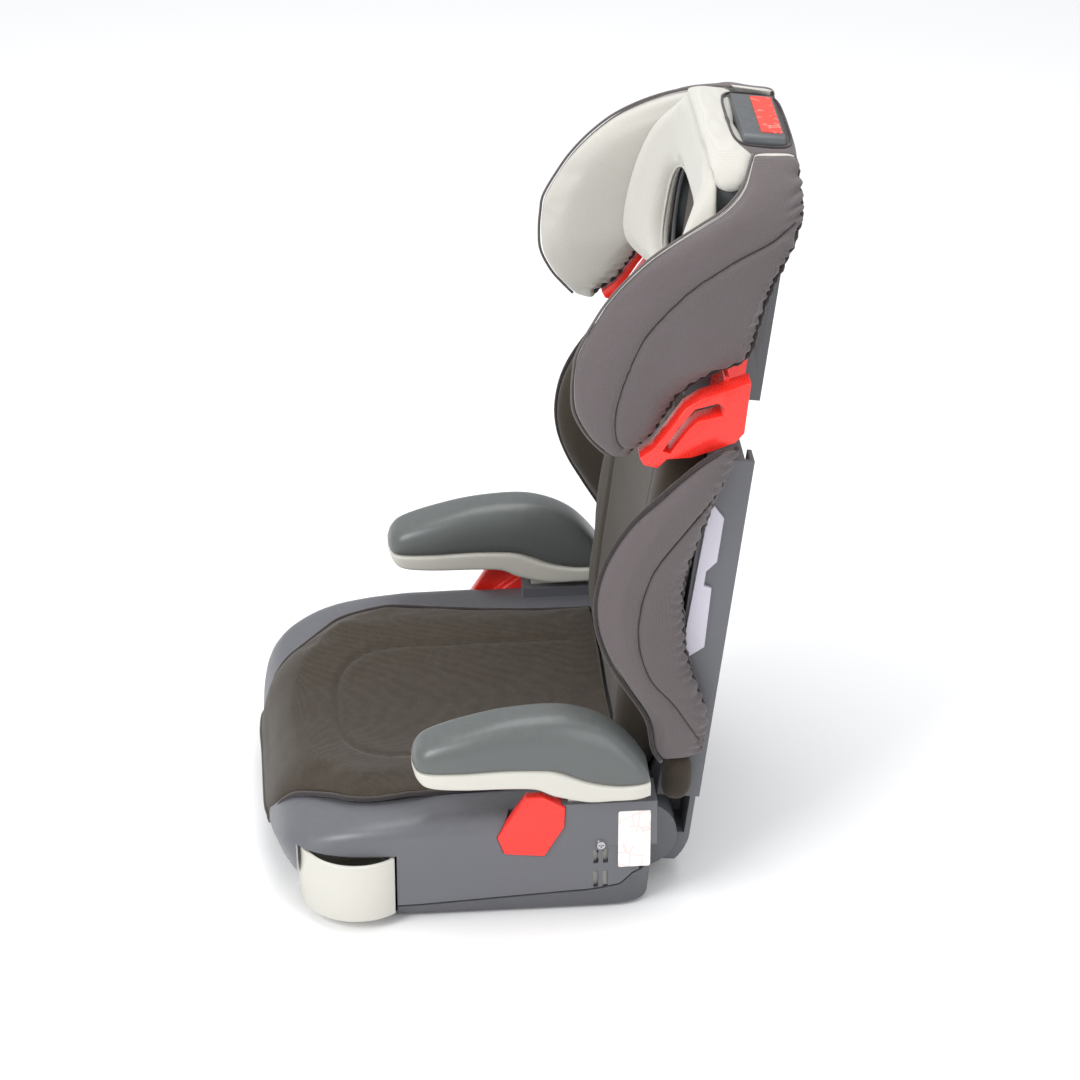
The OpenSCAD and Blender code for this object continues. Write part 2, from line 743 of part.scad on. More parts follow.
// rigid arm from the carrier out into the head wing
module head_arm(side) {
    x = sleeve_x + sleeve_t + seat_gap;
    color("#55575b") back_frame() mirror_to(side)
    difference() {
        union() {
            block([x, 8, head_w0 + 56], [x + 4, 52, arm_w1]);
            block([x, 8, head_w0 + 56], [head_half_w - 26, 12, arm_w1]);
            block([x, 8, head_w0 + 98], [head_half_w - 30, 38, head_w0 + 102]);
        }
        for (w = arm_screw_w, v = arm_screw_v)
            translate([x - 1, v, w]) rotate([0, 90, 0]) cylinder(r = 1.6, h = 8);
    }
}

module arm_screws() {
    x = sleeve_x;
    color("silver") back_frame()
    for (s = [-1, 1], w = arm_screw_w, v = arm_screw_v)
        mirror_to(s) translate([x - 1.6, v, w]) rotate([0, 90, 0]) {
            cylinder(r = 3.4, h = 1.5);
            cylinder(r = 1.5, h = 8);
        }
}

// [w, half width, v of the front at the middle, forward rise at the edges]
head_pad_rows = [
    [head_w0 + 36, 110, -16, 28], [head_w0 + 50, 127, -20, 36], [head_w0 + 100, 131, -18, 36],
    [head_w0 + 156, 121, -14, 28], [head_w0 + 190, 100, -12, 12], [head_w1 - 10, 78, -11, 3]
];

function head_pad_ring(row) =
    let (n = 12, hw = row[1])
    concat(
        [for (i = [0:n]) let (x = hw * (2 * i / n - 1))
            [x, row[2] - row[3] * pow(abs(x) / hw, 4), row[0]]],
        [[hw, sleeve_v0 - sleeve_t - 0.5, row[0]], [-hw, sleeve_v0 - sleeve_t - 0.5, row[0]]]
    );

module head_pad() {
    color("#dcdcd6") back_frame()
    difference() {
        loft([for (r = smooth_rows(head_pad_rows, 12)) head_pad_ring(r)]);
        arch_cut(0, -80, 10);
    }
}

// rows: [w, v front, v rear, x front, x rear, thickness]
hx = head_half_w;
head_rows = [
    [372, -76, -60, hx - 2, hx - 6, 8], [380, -86, -56, hx, hx - 6, 16], [392, -98, -43, hx, hx - 8, 22],
    [411, -110, -33, hx, hx - 10, 26], [431, -114, -22, hx, hx - 12, 28], [450, -115, 2, hx, hx - 13, 28],
    [466, -114, 29, hx, hx - 14, 28], [494, -103, 35, hx - 2, hx - 16, 28], [512, -94, 38, hx - 4, hx - 18, 28],
    [531, -81, 43, hx - 6, hx - 21, 28],
    [550, -64, 50, hx - 9, hx - 25, 28], [566, -44, 57, hx - 14, hx - 34, 28], [579, -24, 61, hx - 21, hx - 44, 27],
    [588, -8, 62, hx - 29, hx - 54, 26], [596, 4, 61, hx - 41, hx - 65, 24], [603, 12, 60, hx - 54, hx - 74, 21],
    [610, 17, 59, hx - 69, hx - 83, 17], [617, 22, 57, hx - 86, hx - 91, 9]
];

module head_wing(side) {
    color("#736a6c") back_frame() mirror_to(side)
    difference() {
        loft([for (r = smooth_rows(head_rows, 34)) wing_ring(r)]);
        block([0, 6, head_w0 + 50], [hx - 24, 48, arm_w1 + 4]);
        block([0, -60, head_w0 + 30], [sleeve_x + sleeve_t + 1, sleeve_v1 + sleeve_t + 1, back_len + 2]);
    }
}

// shoulder belt guide: a plate with an open slot and an arm to the carrier
guide_pts = [
    [31, 455], [10, 445], [-8, 437], [-20, 427], [-30, 408], [-41, 388], [-52, 378], [-48, 372], [-36, 370],
    [-29, 379], [-9, 382], [9, 390], [26, 399], [32, 408]
];
guide_x0 = 150;
guide_x1 = 170;

module shoulder_guide(side) {
    color("#f53b34") back_frame() mirror_to(side)
    difference() {
        union() {
            translate([guide_x0, 0, 0]) rotate([90, 0, 90]) linear_extrude(guide_x1 - guide_x0) polygon(guide_pts);
            block([sleeve_x + sleeve_t + seat_gap, 12, head_w0 + 10], [guide_x0 + 1, 16, head_w0 + 50]);
            block([sleeve_x + sleeve_t + seat_gap, 12, head_w0 + 10], [sleeve_x + sleeve_t + 4, 40, head_w0 + 50]);
        }
        // belt slot, open at its front end
        translate([guide_x0 - 1, 0, 0]) rotate([90, 0, 90]) linear_extrude(guide_x1 - guide_x0 + 2)
            polygon([[12, 431], [6, 434], [-12, 427], [-23, 409], [-34, 386], [-27, 384], [-15, 407], [-8, 416], [12, 423]]);
    }
}

module adjust_handle() {
    color("#55585b") back_frame()
    difference() {
        union() {
            translate([0, 52, 0]) rotate([90, 0, 0]) linear_extrude(36)
                round_rect(-handle_half, handle_w0, handle_half, handle_w0 + handle_h, 7);
            // stem down to the pull rod
            block([-8.4, sleeve_v1 - 8.4, handle_w0 - 30], [8.4, sleeve_v1 - 1.6, handle_w0 + 2]);
        }
        // finger recess from below
        block([-handle_half + 10, 22, handle_w0 - 1], [handle_half - 10, 42, handle_w0 + handle_h - 6]);
    }
}

module handle_label() {
    color("#e8443c") back_frame() translate([0, 0, handle_w0 + handle_h])
        linear_extrude(0.8) round_rect(-handle_half + 10, 32, handle_half - 10, 50, 2);
}

module pull_rod() {
    color("silver") back_frame()
        block([-6, sleeve_v1 - 7, bar_w + bar_r + 4], [6, sleeve_v1 - 3, handle_w0 - 30 - seat_gap]);
}

module latch_bar() {
    color("silver") back_frame() translate([-rack_x - 8, rack_v1 - notch_deep + bar_r + 0.6, bar_w])
        rotate([0, 90, 0]) cylinder(r = bar_r, h = 2 * rack_x + 16);
}

// compression springs under the handle, as the tube that their wire fills
spring_r = 4.6;
spring_wire = 1.2;
spring_w0 = handle_w0 - 31.5;
spring_len = 31;

module return_spring() {
    color("silver") back_frame() for (s = [-1, 1]) translate([s * 14, sleeve_v1 - 5.4, spring_w0])
        difference() {
            cylinder(r = spring_r, h = spring_len);
            translate([0, 0, -1]) cylinder(r = spring_r - spring_wire, h = spring_len + 2);
        }
}

base_shell();
base_tray();
tray_screws();
hinge_rod();
seat_pad();
lap_guide(1);  // lap_guide_left
lap_guide(-1);  // lap_guide_right
side_label();
armrest_screw(1);  // armrest_screw_left
armrest_screw(-1);  // armrest_screw_right
armrest_frame(1);  // armrest_frame_left
armrest_frame(-1);  // armrest_frame_right
armrest_cap(1);  // armrest_cap_left
armrest_cap(-1);  // armrest_cap_right
cap_screws(1);  // cap_screws_left
cap_screws(-1);  // cap_screws_right
cup_holder(1);  // cup_holder_left
cup_holder(-1);  // cup_holder_right
back_shell();
stop_rack();
rack_screws();
back_pad();
side_foam(1);  // side_foam_left
side_foam(-1);  // side_foam_right
torso_wing(1);  // torso_wing_left
torso_wing(-1);  // torso_wing_right
head_carrier();
head_arm(1);  // head_arm_left
head_arm(-1);  // head_arm_right
arm_screws();
head_pad();
head_wing(1);  // head_wing_left
head_wing(-1);  // head_wing_right
shoulder_guide(1);  // shoulder_guide_left
shoulder_guide(-1);  // shoulder_guide_right
adjust_handle();
handle_label();
pull_rod();
latch_bar();
return_spring();
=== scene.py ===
# %% [markdown]
# # A high-back booster seat, piece by piece
# The seat has a hard dished base, a reclining back that hooks over the base's rear
# beam, a winged headrest that slides on the back, two armrests that lift, two cup
# holders that slide out, and fabric covers over all that a child touches.
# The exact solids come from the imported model, which is loaded here and never moved.
# Blender adds what those solids can't hold: stuffed fabric, seams, piping, elastic,
# rounded plastic edges and the finish of each surface.

import bpy
import bmesh
import json
import math
import numpy as np
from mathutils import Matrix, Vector, noise
from mathutils.bvhtree import BVHTree


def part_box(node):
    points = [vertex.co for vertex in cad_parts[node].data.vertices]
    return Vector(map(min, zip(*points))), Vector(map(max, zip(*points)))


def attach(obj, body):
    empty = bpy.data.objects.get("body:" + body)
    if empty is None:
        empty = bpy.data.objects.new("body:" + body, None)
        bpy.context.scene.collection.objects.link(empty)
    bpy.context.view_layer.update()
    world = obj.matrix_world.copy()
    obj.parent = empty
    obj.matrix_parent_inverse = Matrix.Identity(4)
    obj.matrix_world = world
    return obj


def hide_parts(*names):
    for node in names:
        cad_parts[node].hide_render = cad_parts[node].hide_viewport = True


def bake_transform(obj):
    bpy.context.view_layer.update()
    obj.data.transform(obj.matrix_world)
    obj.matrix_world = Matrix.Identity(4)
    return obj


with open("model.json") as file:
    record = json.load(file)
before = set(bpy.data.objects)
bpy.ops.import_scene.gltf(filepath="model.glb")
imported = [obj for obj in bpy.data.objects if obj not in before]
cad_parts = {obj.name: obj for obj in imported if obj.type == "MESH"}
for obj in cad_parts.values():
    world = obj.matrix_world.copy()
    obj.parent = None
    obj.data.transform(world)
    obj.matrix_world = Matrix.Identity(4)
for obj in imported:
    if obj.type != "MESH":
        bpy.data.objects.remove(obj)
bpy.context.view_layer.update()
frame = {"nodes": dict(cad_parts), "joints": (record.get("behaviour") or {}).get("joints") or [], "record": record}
nodes = frame["nodes"]
MM = 0.001

# %% [markdown]
# The camera stands to the left of the child and a little in front, high enough to
# look down into the seat. A long lens keeps the far armrest nearly as large as the
# near one. It comes first, so that every later step can be judged through it.

# %% Camera
scene = bpy.context.scene
camera_data = bpy.data.cameras.new("seat_camera")
camera_data.lens = 134.8
camera_data.sensor_width = 36
camera = bpy.data.objects.new("seat_camera", camera_data)
camera.location = (3.1163, -0.1905, 2.0129)
LOOK_AT = Vector((0, 0.0778, 0.2605))
camera.rotation_euler = (LOOK_AT - camera.location).to_track_quat("-Z", "Y").to_euler()
scene.collection.objects.link(camera)
scene.camera = camera
print("camera distance in m:", round((LOOK_AT - camera.location).length, 2))

# %% [markdown]
# The backrest leans, so its parts are easiest to lay out in its own frame: x across,
# v to the rear and w up along the lean, in millimetres from the hinge. The hinge and
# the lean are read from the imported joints, so this follows the CAD if it changes.

# %% The backrest's own frame
joints = {j["name"]: j for j in frame["joints"]}
HINGE = np.array(joints["back_recline"]["pos_m"])
UP = np.array(joints["head_slide"]["axis"])
REAR = np.array([0, UP[2], -UP[1]])


def on_back(points):
    """Points (x, v, w) in mm in the backrest's frame, as points in the row frame."""
    p = np.asarray(points, float) * MM
    side = np.zeros(p.shape[:-1] + (3,))
    side[..., 0] = p[..., 0]
    return HINGE + side + p[..., 1:2] * REAR + p[..., 2:3] * UP


print("hinge at", HINGE, "lean in degrees", round(math.degrees(math.asin(UP[1])), 2))

# %% [markdown]
# Every rounded piece here is a skin drawn through rows of measures, such as height, edge and thickness. A smooth
# curve through a few given rows gives as many fine rows as the piece needs, which is how a pattern cutter grades a
# shape.

# %% Smooth rows and skins


def smooth_rows(rows, count):
    """A smooth curve through rows of numbers, sampled at count + 1 places."""
    rows = np.asarray(rows, float)
    last = len(rows) - 1
    out = []
    for k in range(count + 1):
        s = k / count * last
        i = min(int(s), last - 1)
        t = s - i
        a, b, c, d = rows[max(i - 1, 0)], rows[i], rows[i + 1], rows[min(i + 2, last)]
        out.append(b + 0.5 * t * (c - a + t * (2 * a - 5 * b + 4 * c - d + t * (3 * (b - c) + d - a))))
    return np.array(out)


def power(value, p):
    return np.sign(value) * np.abs(value) ** p


def make_piece(name, points, faces, mats, face_mats=None):
    """A mesh object with its materials."""
    mesh = bpy.data.meshes.new(name)
    mesh.from_pydata([tuple(p) for p in points], [], [tuple(f) for f in faces])
    piece = bpy.data.objects.new(name, mesh)
    scene.collection.objects.link(piece)
    for m in mats:
        mesh.materials.append(m)
    if face_mats is not None:
        mesh.polygons.foreach_set("material_index", np.asarray(face_mats, np.int32))
    tidy_normals(piece)
    return piece


def tidy_normals(piece):
    bm = bmesh.new()
    bm.from_mesh(piece.data)
    bmesh.ops.recalc_face_normals(bm, faces=bm.faces)
    bm.to_mesh(piece.data)
    bm.free()
    piece.data.polygons.foreach_set("use_smooth", [True] * len(piece.data.polygons))
    piece.data.update()


def skin(name, rings, mats, paint=None, caps=True, wrap=False):
    """A closed skin through rings of points. paint(row, column) gives the material's number."""
    rings = np.asarray(rings, float)
    m, n = rings.shape[:2]
    points = list(rings.reshape(-1, 3))
    faces, tints = [], []
    for k in range(m if wrap else m - 1):
        for i in range(n):
            j, q = (i + 1) % n, (k + 1) % m
            faces.append((k * n + i, q * n + i, q * n + j, k * n + j))
            tints.append(paint(k, i) if paint else 0)
    if caps and not wrap:
        for k in (0, m - 1):
            centre = len(points)
            points.append(rings[k].mean(axis=0))
            for i in range(n):
                faces.append((k * n + i, k * n + (i + 1) % n, centre))
                tints.append(paint(k, i) if paint else 0)
    return make_piece(name, points, faces, mats, tints)


def coords(piece):
    out = np.zeros(len(piece.data.vertices) * 3)
    piece.data.vertices.foreach_get("co", out)
    return out.reshape(-1, 3)


def set_coords(piece, points):
    piece.data.vertices.foreach_set("co", np.asarray(points, float).ravel())
    piece.data.update()


def vertex_normals(piece):
    out = np.zeros(len(piece.data.vertices) * 3)
    piece.data.vertex_normals.foreach_get("vector", out)
    return out.reshape(-1, 3)


def apply_modifiers(piece):
    """Writes the piece's modifiers into its mesh, so that the mesh is final."""
    depsgraph = bpy.context.evaluated_depsgraph_get()
    mesh = bpy.data.meshes.new_from_object(piece.evaluated_get(depsgraph))
    piece.modifiers.clear()
    piece.data = mesh


def finer(piece, levels=1):
    m = piece.modifiers.new("finer", "SUBSURF")
    m.levels = m.render_levels = levels
    apply_modifiers(piece)


def sharpen(piece, degrees=34):
    """Smooth shading that breaks at the real edges."""
    piece.data.shade_smooth()
    piece.data.set_sharp_from_angle(angle=math.radians(degrees))


def settle(piece, body):
    """The piece rides on a CAD body."""
    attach(piece, body)
    return piece


print("helpers ready")

# %% [markdown]
# Fabric is stuffed the way it happens in the factory: the cut cover is a little too
# flat, and the filling pushes it out from inside. Blender's Cloth with a pressure
# inside does the same. A cap on how far each point may travel keeps the cover in the
# space that the CAD gave it.

# %% Stuffing a cover


def plump(piece, cap, pressure=4.0, frames=20):
    """Blows the closed cover up as cloth, with no point moving further than cap, in mm."""
    start = coords(piece)
    cloth = piece.modifiers.new("stuffing", "CLOTH")
    cloth.settings.quality = 4
    cloth.settings.mass = 0.2
    cloth.settings.use_pressure = True
    cloth.settings.uniform_pressure_force = pressure
    cloth.settings.effector_weights.gravity = 0
    cloth.point_cache.frame_start = 1
    cloth.point_cache.frame_end = frames
    for f in range(1, frames + 1):
        scene.frame_set(f)
    depsgraph = bpy.context.evaluated_depsgraph_get()
    blown = np.array([v.co for v in piece.evaluated_get(depsgraph).data.vertices])
    piece.modifiers.clear()
    move = blown - start
    length = np.linalg.norm(move, axis=1, keepdims=True)
    move *= np.minimum(1, cap * MM / np.maximum(length, 1e-9))
    set_coords(piece, start + move)
    scene.frame_set(1)
    print(piece.name, "moved on average", round(float(np.minimum(length, cap * MM).mean() / MM), 1), "mm")


def to_line(points, line):
    """Distance of each point from a line of points."""
    points, line = np.asarray(points, float), np.asarray(line, float)
    best = np.full(len(points), 1e9)
    for a, b in zip(line[:-1], line[1:]):
        d = b - a
        t = np.clip(((points - a) @ d) / max(d @ d, 1e-12), 0, 1)
        best = np.minimum(best, np.linalg.norm(points - a - t[:, None] * d, axis=1))
    return best


def press_seam(piece, line, depth=1.8, width=2.6):
    """A sewn line pulls the cover in: points near it move inward, most on the line itself."""
    p = coords(piece)
    d = to_line(p, line) / MM
    set_coords(piece, p - vertex_normals(piece) * (depth * MM * np.exp(-((d / width) ** 2)))[:, None])


def ripple(piece, strength, height=1.0, length=0.02, seed=0.0):
    """Slow unevenness of stuffed cloth. strength is an array, from 0 to 1."""
    p = coords(piece)
    n = vertex_normals(piece)
    bumps = np.array([noise.noise(Vector(q / length) + Vector((seed, 0, 0))) for q in p])
    set_coords(piece, p + n * (bumps * strength * height * MM)[:, None])


# %% [markdown]
# Seams, piping, elastic and threads all follow a path that lies on a cover. The path
# is dropped onto the finished cover along one direction, so it touches the cloth
# wherever the stuffing has pushed it.

# %% Paths on a cover


def even_path(points, step):
    """The path again, with points a step apart, in metres."""
    p = np.asarray(points, float)
    lengths = np.concatenate([[0], np.cumsum(np.linalg.norm(np.diff(p, axis=0), axis=1))])
    count = max(int(round(lengths[-1] / step)), 2)
    s = np.linspace(0, lengths[-1], count + 1)
    return np.stack([np.interp(s, lengths, p[:, k]) for k in range(3)], axis=1)


def drop_on(piece, points, direction, reach=0.2):
    """Each point moved along a direction onto the piece, where the piece is hit."""
    faces = [tuple(f.vertices) for f in piece.data.polygons]
    tree = BVHTree.FromPolygons([tuple(c) for c in coords(piece)], faces)
    direction = Vector(direction).normalized()
    out = []
    for q in points:
        hit = tree.ray_cast(Vector(q) - direction * reach, direction)
        if hit[0] is not None:
            out.append(np.array(hit[0]))
    return np.array(out)


def tube(name, path, radius, mats, closed=False, sides=8, flat=1.0):
    """A tube along a path. radius is one number or one for each point."""
    path = np.asarray(path, float)
    m = len(path)
    radius = np.broadcast_to(radius, (m,))
    ahead = np.roll(path, -1, axis=0) - np.roll(path, 1, axis=0)
    if not closed:
        ahead[0], ahead[-1] = path[1] - path[0], path[-1] - path[-2]
    rings = []
    normal = None
    for k in range(m):
        t = ahead[k] / max(np.linalg.norm(ahead[k]), 1e-9)
        if normal is None:
            seed = np.array([1.0, 0, 0]) if abs(t[0]) < 0.8 else np.array([0, 0, 1.0])
            normal = np.cross(t, seed)
        normal = normal - t * (normal @ t)
        normal /= max(np.linalg.norm(normal), 1e-9)
        other = np.cross(t, normal)
        a = np.arange(sides) * 2 * math.pi / sides
        rings.append(path[k] + radius[k] * (np.cos(a)[:, None] * normal + flat * np.sin(a)[:, None] * other))
    return skin(name, rings, mats, wrap=closed)


def stitches(name, path, mats, pitch=4.2, length=2.6, radius=0.36):
    """A row of short raised threads along a path, as one piece. Sizes in mm."""
    p = even_path(path, pitch * MM)
    points, faces = [], []
    for a, b in zip(p[:-1], p[1:]):
        t = b - a
        t = t / max(np.linalg.norm(t), 1e-9)
        side = np.cross(t, [0, 0, 1.0]) if abs(t[2]) < 0.9 else np.cross(t, [0, 1.0, 0])
        side /= np.linalg.norm(side)
        up = np.cross(side, t)
        base = len(points)
        mid = (a + b) / 2
        for along, r in ((-0.5, 0.25), (-0.3, 1), (0.3, 1), (0.5, 0.25)):
            for k in range(6):
                c, s = math.cos(k * math.pi / 3), math.sin(k * math.pi / 3)
                points.append(mid + t * along * length * MM + (side * c + up * s) * r * radius * MM)
        for k in range(3):
            for i in range(6):
                j = (i + 1) % 6
                faces.append((
                    base + k * 6 + i, base + k * 6 + j, base + (k + 1) * 6 + j, base + (k + 1) * 6 + i))
        faces.append(tuple(base + i for i in range(5, -1, -1)))
        faces.append(tuple(base + 18 + i for i in range(6)))
    return make_piece(name, points, faces, mats)


def join(name, pieces):
    """Several meshes as one object."""
    points, faces, tints, mats = [], [], [], []
    for piece in pieces:
        base = len(points)
        points += list(coords(piece))
        slots = []
        for m in piece.data.materials:
            if m not in mats:
                mats.append(m)
            slots.append(mats.index(m))
        for f in piece.data.polygons:
            faces.append([base + v for v in f.vertices])
            tints.append(slots[f.material_index] if slots else 0)
    for piece in pieces:
        bpy.data.objects.remove(piece)
    return make_piece(name, points, faces, mats, tints)


print("sewing helpers ready")

# %% [markdown]
# Surface effects that several finishes share are node groups with named sockets:
# the knit of the covers, the fine grain of moulded plastic, wear and rounding along
# plastic edges, and dust that settles on what faces up.

# %% Node helpers


def new_group(name, inputs, outputs):
    g = bpy.data.node_groups.new(name, "ShaderNodeTree")
    for label, value in inputs:
        s = g.interface.new_socket(label, in_out="INPUT", socket_type="NodeSocketFloat")
        s.default_value = value
    for label, kind in outputs:
        g.interface.new_socket(label, in_out="OUTPUT", socket_type=kind)
    return g, g.nodes.new("NodeGroupInput"), g.nodes.new("NodeGroupOutput")


def put(tree, kind, inputs=None, **props):
    """Adds a node. inputs maps a socket's name or number to a value or to another node's output."""
    n = tree.nodes.new(kind)
    for key, value in props.items():
        setattr(n, key, value)
    for key, value in (inputs or {}).items():
        if isinstance(value, bpy.types.NodeSocket):
            tree.links.new(value, n.inputs[key])
        else:
            n.inputs[key].default_value = value
    return n


def calc(tree, operation, a, b=None, c=None, clamp=False):
    inputs = {0: a}
    if b is not None:
        inputs[1] = b
    if c is not None:
        inputs[2] = c
    return put(tree, "ShaderNodeMath", inputs, operation=operation, use_clamp=clamp).outputs[0]


def colour(r, g, b):
    """A screen colour from 0 to 255 as the linear colour that shaders use."""
    def lin(c):
        c /= 255
        return c / 12.92 if c <= 0.04045 else ((c + 0.055) / 1.055) ** 2.4

    return (lin(r), lin(g), lin(b), 1)


# %% [markdown]
# A warp-knitted cover shows upright ribs crossed by fine courses. Two sine patterns in the object's own space make
# it, and a slow noise keeps it from looking printed. The same relief is also painted into the colour, darker in
# the grooves and lighter on the ribs: painted shade and painted highlight.

# %% Knit
TURN = 2 * math.pi
knit, gi, go = new_group(
    "Knit", [("Rib pitch", 2.4), ("Course pitch", 1.7), ("Unevenness", 0.3)],
    [("Height", "NodeSocketFloat"), ("Painted groove shade", "NodeSocketFloat"), ("Tone", "NodeSocketFloat")])
where = put(knit, "ShaderNodeTexCoord")
axes = put(knit, "ShaderNodeSeparateXYZ", {0: where.outputs["Object"]})
across = calc(knit, "ADD", axes.outputs["X"], axes.outputs["Y"])
course = calc(
    knit, "DIVIDE", calc(knit, "MULTIPLY", axes.outputs["Z"], TURN * 1000), gi.outputs["Course pitch"])
course = calc(knit, "ADD", course, calc(knit, "MULTIPLY", axes.outputs["Y"], 300.0))
course_wave = calc(knit, "SINE", course)
rib = calc(knit, "DIVIDE", calc(knit, "MULTIPLY", across, TURN * 1000), gi.outputs["Rib pitch"])
rib_wave = calc(knit, "SINE", calc(knit, "ADD", rib, calc(knit, "MULTIPLY", course_wave, 0.8)))
weave = calc(knit, "ADD", calc(knit, "MULTIPLY", rib_wave, 0.6), calc(knit, "MULTIPLY", course_wave, 0.4))
slow = put(knit, "ShaderNodeTexNoise", {"Vector": where.outputs["Object"], "Scale": 9.0, "Detail": 4.0})
fine = put(knit, "ShaderNodeTexNoise", {"Vector": where.outputs["Object"], "Scale": 420.0, "Detail": 2.0})
rough_weave = calc(
    knit, "ADD", weave, calc(knit, "MULTIPLY", calc(knit, "SUBTRACT", fine.outputs[0], 0.5), 1.2))
knit.links.new(rough_weave, go.inputs["Height"])
# painted shade: the knit's relief as a colour factor, so that its grooves are coloured darker and its ribs lighter
knit.links.new(calc(knit, "MULTIPLY_ADD", rough_weave, 0.5, 0.5, clamp=True), go.inputs["Painted groove shade"])
spread = calc(knit, "MULTIPLY", calc(knit, "SUBTRACT", slow.outputs[0], 0.5), gi.outputs["Unevenness"])
knit.links.new(calc(knit, "ADD", spread, 0.5, clamp=True), go.inputs["Tone"])
print("group", knit.name)

# %% [markdown]
# Moulded plastic carries the fine texture that was etched into its mould. It breaks
# up the highlight, so the same group drives both the bump and the roughness.

# %% Mould grain
grain, gi, go = new_group(
    "Mould grain", [("Scale", 900.0), ("Blotches", 0.3)],
    [("Height", "NodeSocketFloat"), ("Gloss", "NodeSocketFloat"), ("Tone", "NodeSocketFloat")])
where = put(grain, "ShaderNodeTexCoord")
pits = put(grain, "ShaderNodeTexVoronoi", {"Vector": where.outputs["Object"], "Scale": gi.outputs["Scale"]})
dots = put(grain, "ShaderNodeTexNoise", {
    "Vector": where.outputs["Object"], "Scale": gi.outputs["Scale"], "Detail": 2.0})
cloud = put(grain, "ShaderNodeTexNoise", {"Vector": where.outputs["Object"], "Scale": 11.0, "Detail": 5.0})
height = calc(grain, "ADD", calc(grain, "MULTIPLY", pits.outputs["Distance"], 0.6), dots.outputs[0])
grain.links.new(height, go.inputs["Height"])
fine_gloss = calc(grain, "MULTIPLY", dots.outputs[0], 0.15)
gloss = calc(grain, "MULTIPLY_ADD", cloud.outputs[0], gi.outputs["Blotches"], fine_gloss)
grain.links.new(gloss, go.inputs["Gloss"])
grain.links.new(cloud.outputs[0], go.inputs["Tone"])
print("group", grain.name)

# %% [markdown]
# Handled edges turn paler and smoother. The Bevel node rounds the normal near an
# edge, and where that rounded normal leaves the true one, there is an edge to wear.

# %% Edge wear
wear, gi, go = new_group(
    "Edge wear", [("Radius", 0.0012), ("Amount", 1.0)],
    [("Mask", "NodeSocketFloat"), ("Rounded", "NodeSocketVector")])
bevel = put(wear, "ShaderNodeBevel", {"Radius": gi.outputs["Radius"]}, samples=4)
true = put(wear, "ShaderNodeNewGeometry")
dot = put(wear, "ShaderNodeVectorMath", {0: bevel.outputs[0], 1: true.outputs["Normal"]},
          operation="DOT_PRODUCT")
edge = calc(wear, "MULTIPLY", calc(wear, "SUBTRACT", 1.0, dot.outputs["Value"]), 5.0, clamp=True)
where = put(wear, "ShaderNodeTexCoord")
patchy = put(wear, "ShaderNodeTexNoise", {"Vector": where.outputs["Object"], "Scale": 60.0, "Detail": 4.0})
patch = calc(
    wear, "MULTIPLY", edge, calc(wear, "MULTIPLY", patchy.outputs[0], gi.outputs["Amount"]), clamp=True)
wear.links.new(patch, go.inputs["Mask"])
wear.links.new(bevel.outputs[0], go.inputs["Rounded"])
print("group", wear.name)

# %% [markdown]
# Dust stays on what faces up, in fine specks. It is a mask from the normal's height
# and a noise, so the same group serves cloth and plastic at different amounts.

# %% Dust
dust, gi, go = new_group("Dust", [("Amount", 0.15)], [("Mask", "NodeSocketFloat")])
where = put(dust, "ShaderNodeTexCoord")
true = put(dust, "ShaderNodeNewGeometry")
facing = put(dust, "ShaderNodeSeparateXYZ", {0: true.outputs["Normal"]})
specks = put(dust, "ShaderNodeTexNoise", {
    "Vector": where.outputs["Object"], "Scale": 130.0, "Detail": 6.0, "Roughness": 0.7})
speck = calc(dust, "MULTIPLY", calc(dust, "SUBTRACT", specks.outputs[0], 0.42), 3.0, clamp=True)
up = calc(dust, "MULTIPLY", facing.outputs["Z"], gi.outputs["Amount"], clamp=True)
dust.links.new(calc(dust, "MULTIPLY", speck, up), go.inputs["Mask"])
print("group", dust.name)

# %% [markdown]
# A finish is a Principled shader with the groups wired into it. Fabric gets sheen,
# plastic gets worn edges, and each keeps its fixed numbers on the shader's sockets.

# %% Finishes


def new_finish(name, roughness):
    m = bpy.data.materials.new(name)
    m.use_nodes = True
    tree = m.node_tree
    tree.nodes.clear()
    shader = put(tree, "ShaderNodeBsdfPrincipled", {"Roughness": roughness})
    out = put(tree, "ShaderNodeOutputMaterial", {"Surface": shader.outputs[0]})
    out.is_active_output = True
    return m, tree, shader


def use(tree, group, **values):
    n = tree.nodes.new("ShaderNodeGroup")
    n.node_tree = group
    for key, value in values.items():
        n.inputs[key.replace("_", " ")].default_value = value
    return n


def blend_colours(tree, factor, a, b):
    n = tree.nodes.new("ShaderNodeMix")
    n.data_type = "RGBA"
    for key, value in (("Factor", factor), ("A", a), ("B", b)):
        kind = "VALUE" if key == "Factor" else "RGBA"
        socket = [s for s in n.inputs if s.name == key and s.type == kind][0]
        if isinstance(value, bpy.types.NodeSocket):
            tree.links.new(value, socket)
        else:
            socket.default_value = value
    return [s for s in n.outputs if s.type == "RGBA"][0]


def fabric(name, dark, light, rib=2.4, course=1.7, bump=0.35, sheen=0.3):
    m, tree, shader = new_finish(name, 0.85)
    k = use(tree, knit, Rib_pitch=rib, Course_pitch=course)
    d = use(tree, dust, Amount=0.03)
    # painted shade in the knit's grooves and painted highlight on its ribs, mixed from the dark and the light
    # colour
    base = blend_colours(tree, k.outputs["Painted groove shade"], dark, light)
    faded = blend_colours(tree, k.outputs["Tone"], dark, base)
    dusty = blend_colours(tree, d.outputs["Mask"], faded, colour(190, 184, 176))
    tree.links.new(dusty, shader.inputs["Base Color"])
    b = put(tree, "ShaderNodeBump", {"Strength": bump, "Distance": 0.0006, "Height": k.outputs["Height"]})
    tree.links.new(b.outputs[0], shader.inputs["Normal"])
    shader.inputs["Sheen Weight"].default_value = sheen
    shader.inputs["Sheen Roughness"].default_value = 0.5
    shader.inputs["Specular IOR Level"].default_value = 0.25
    return m


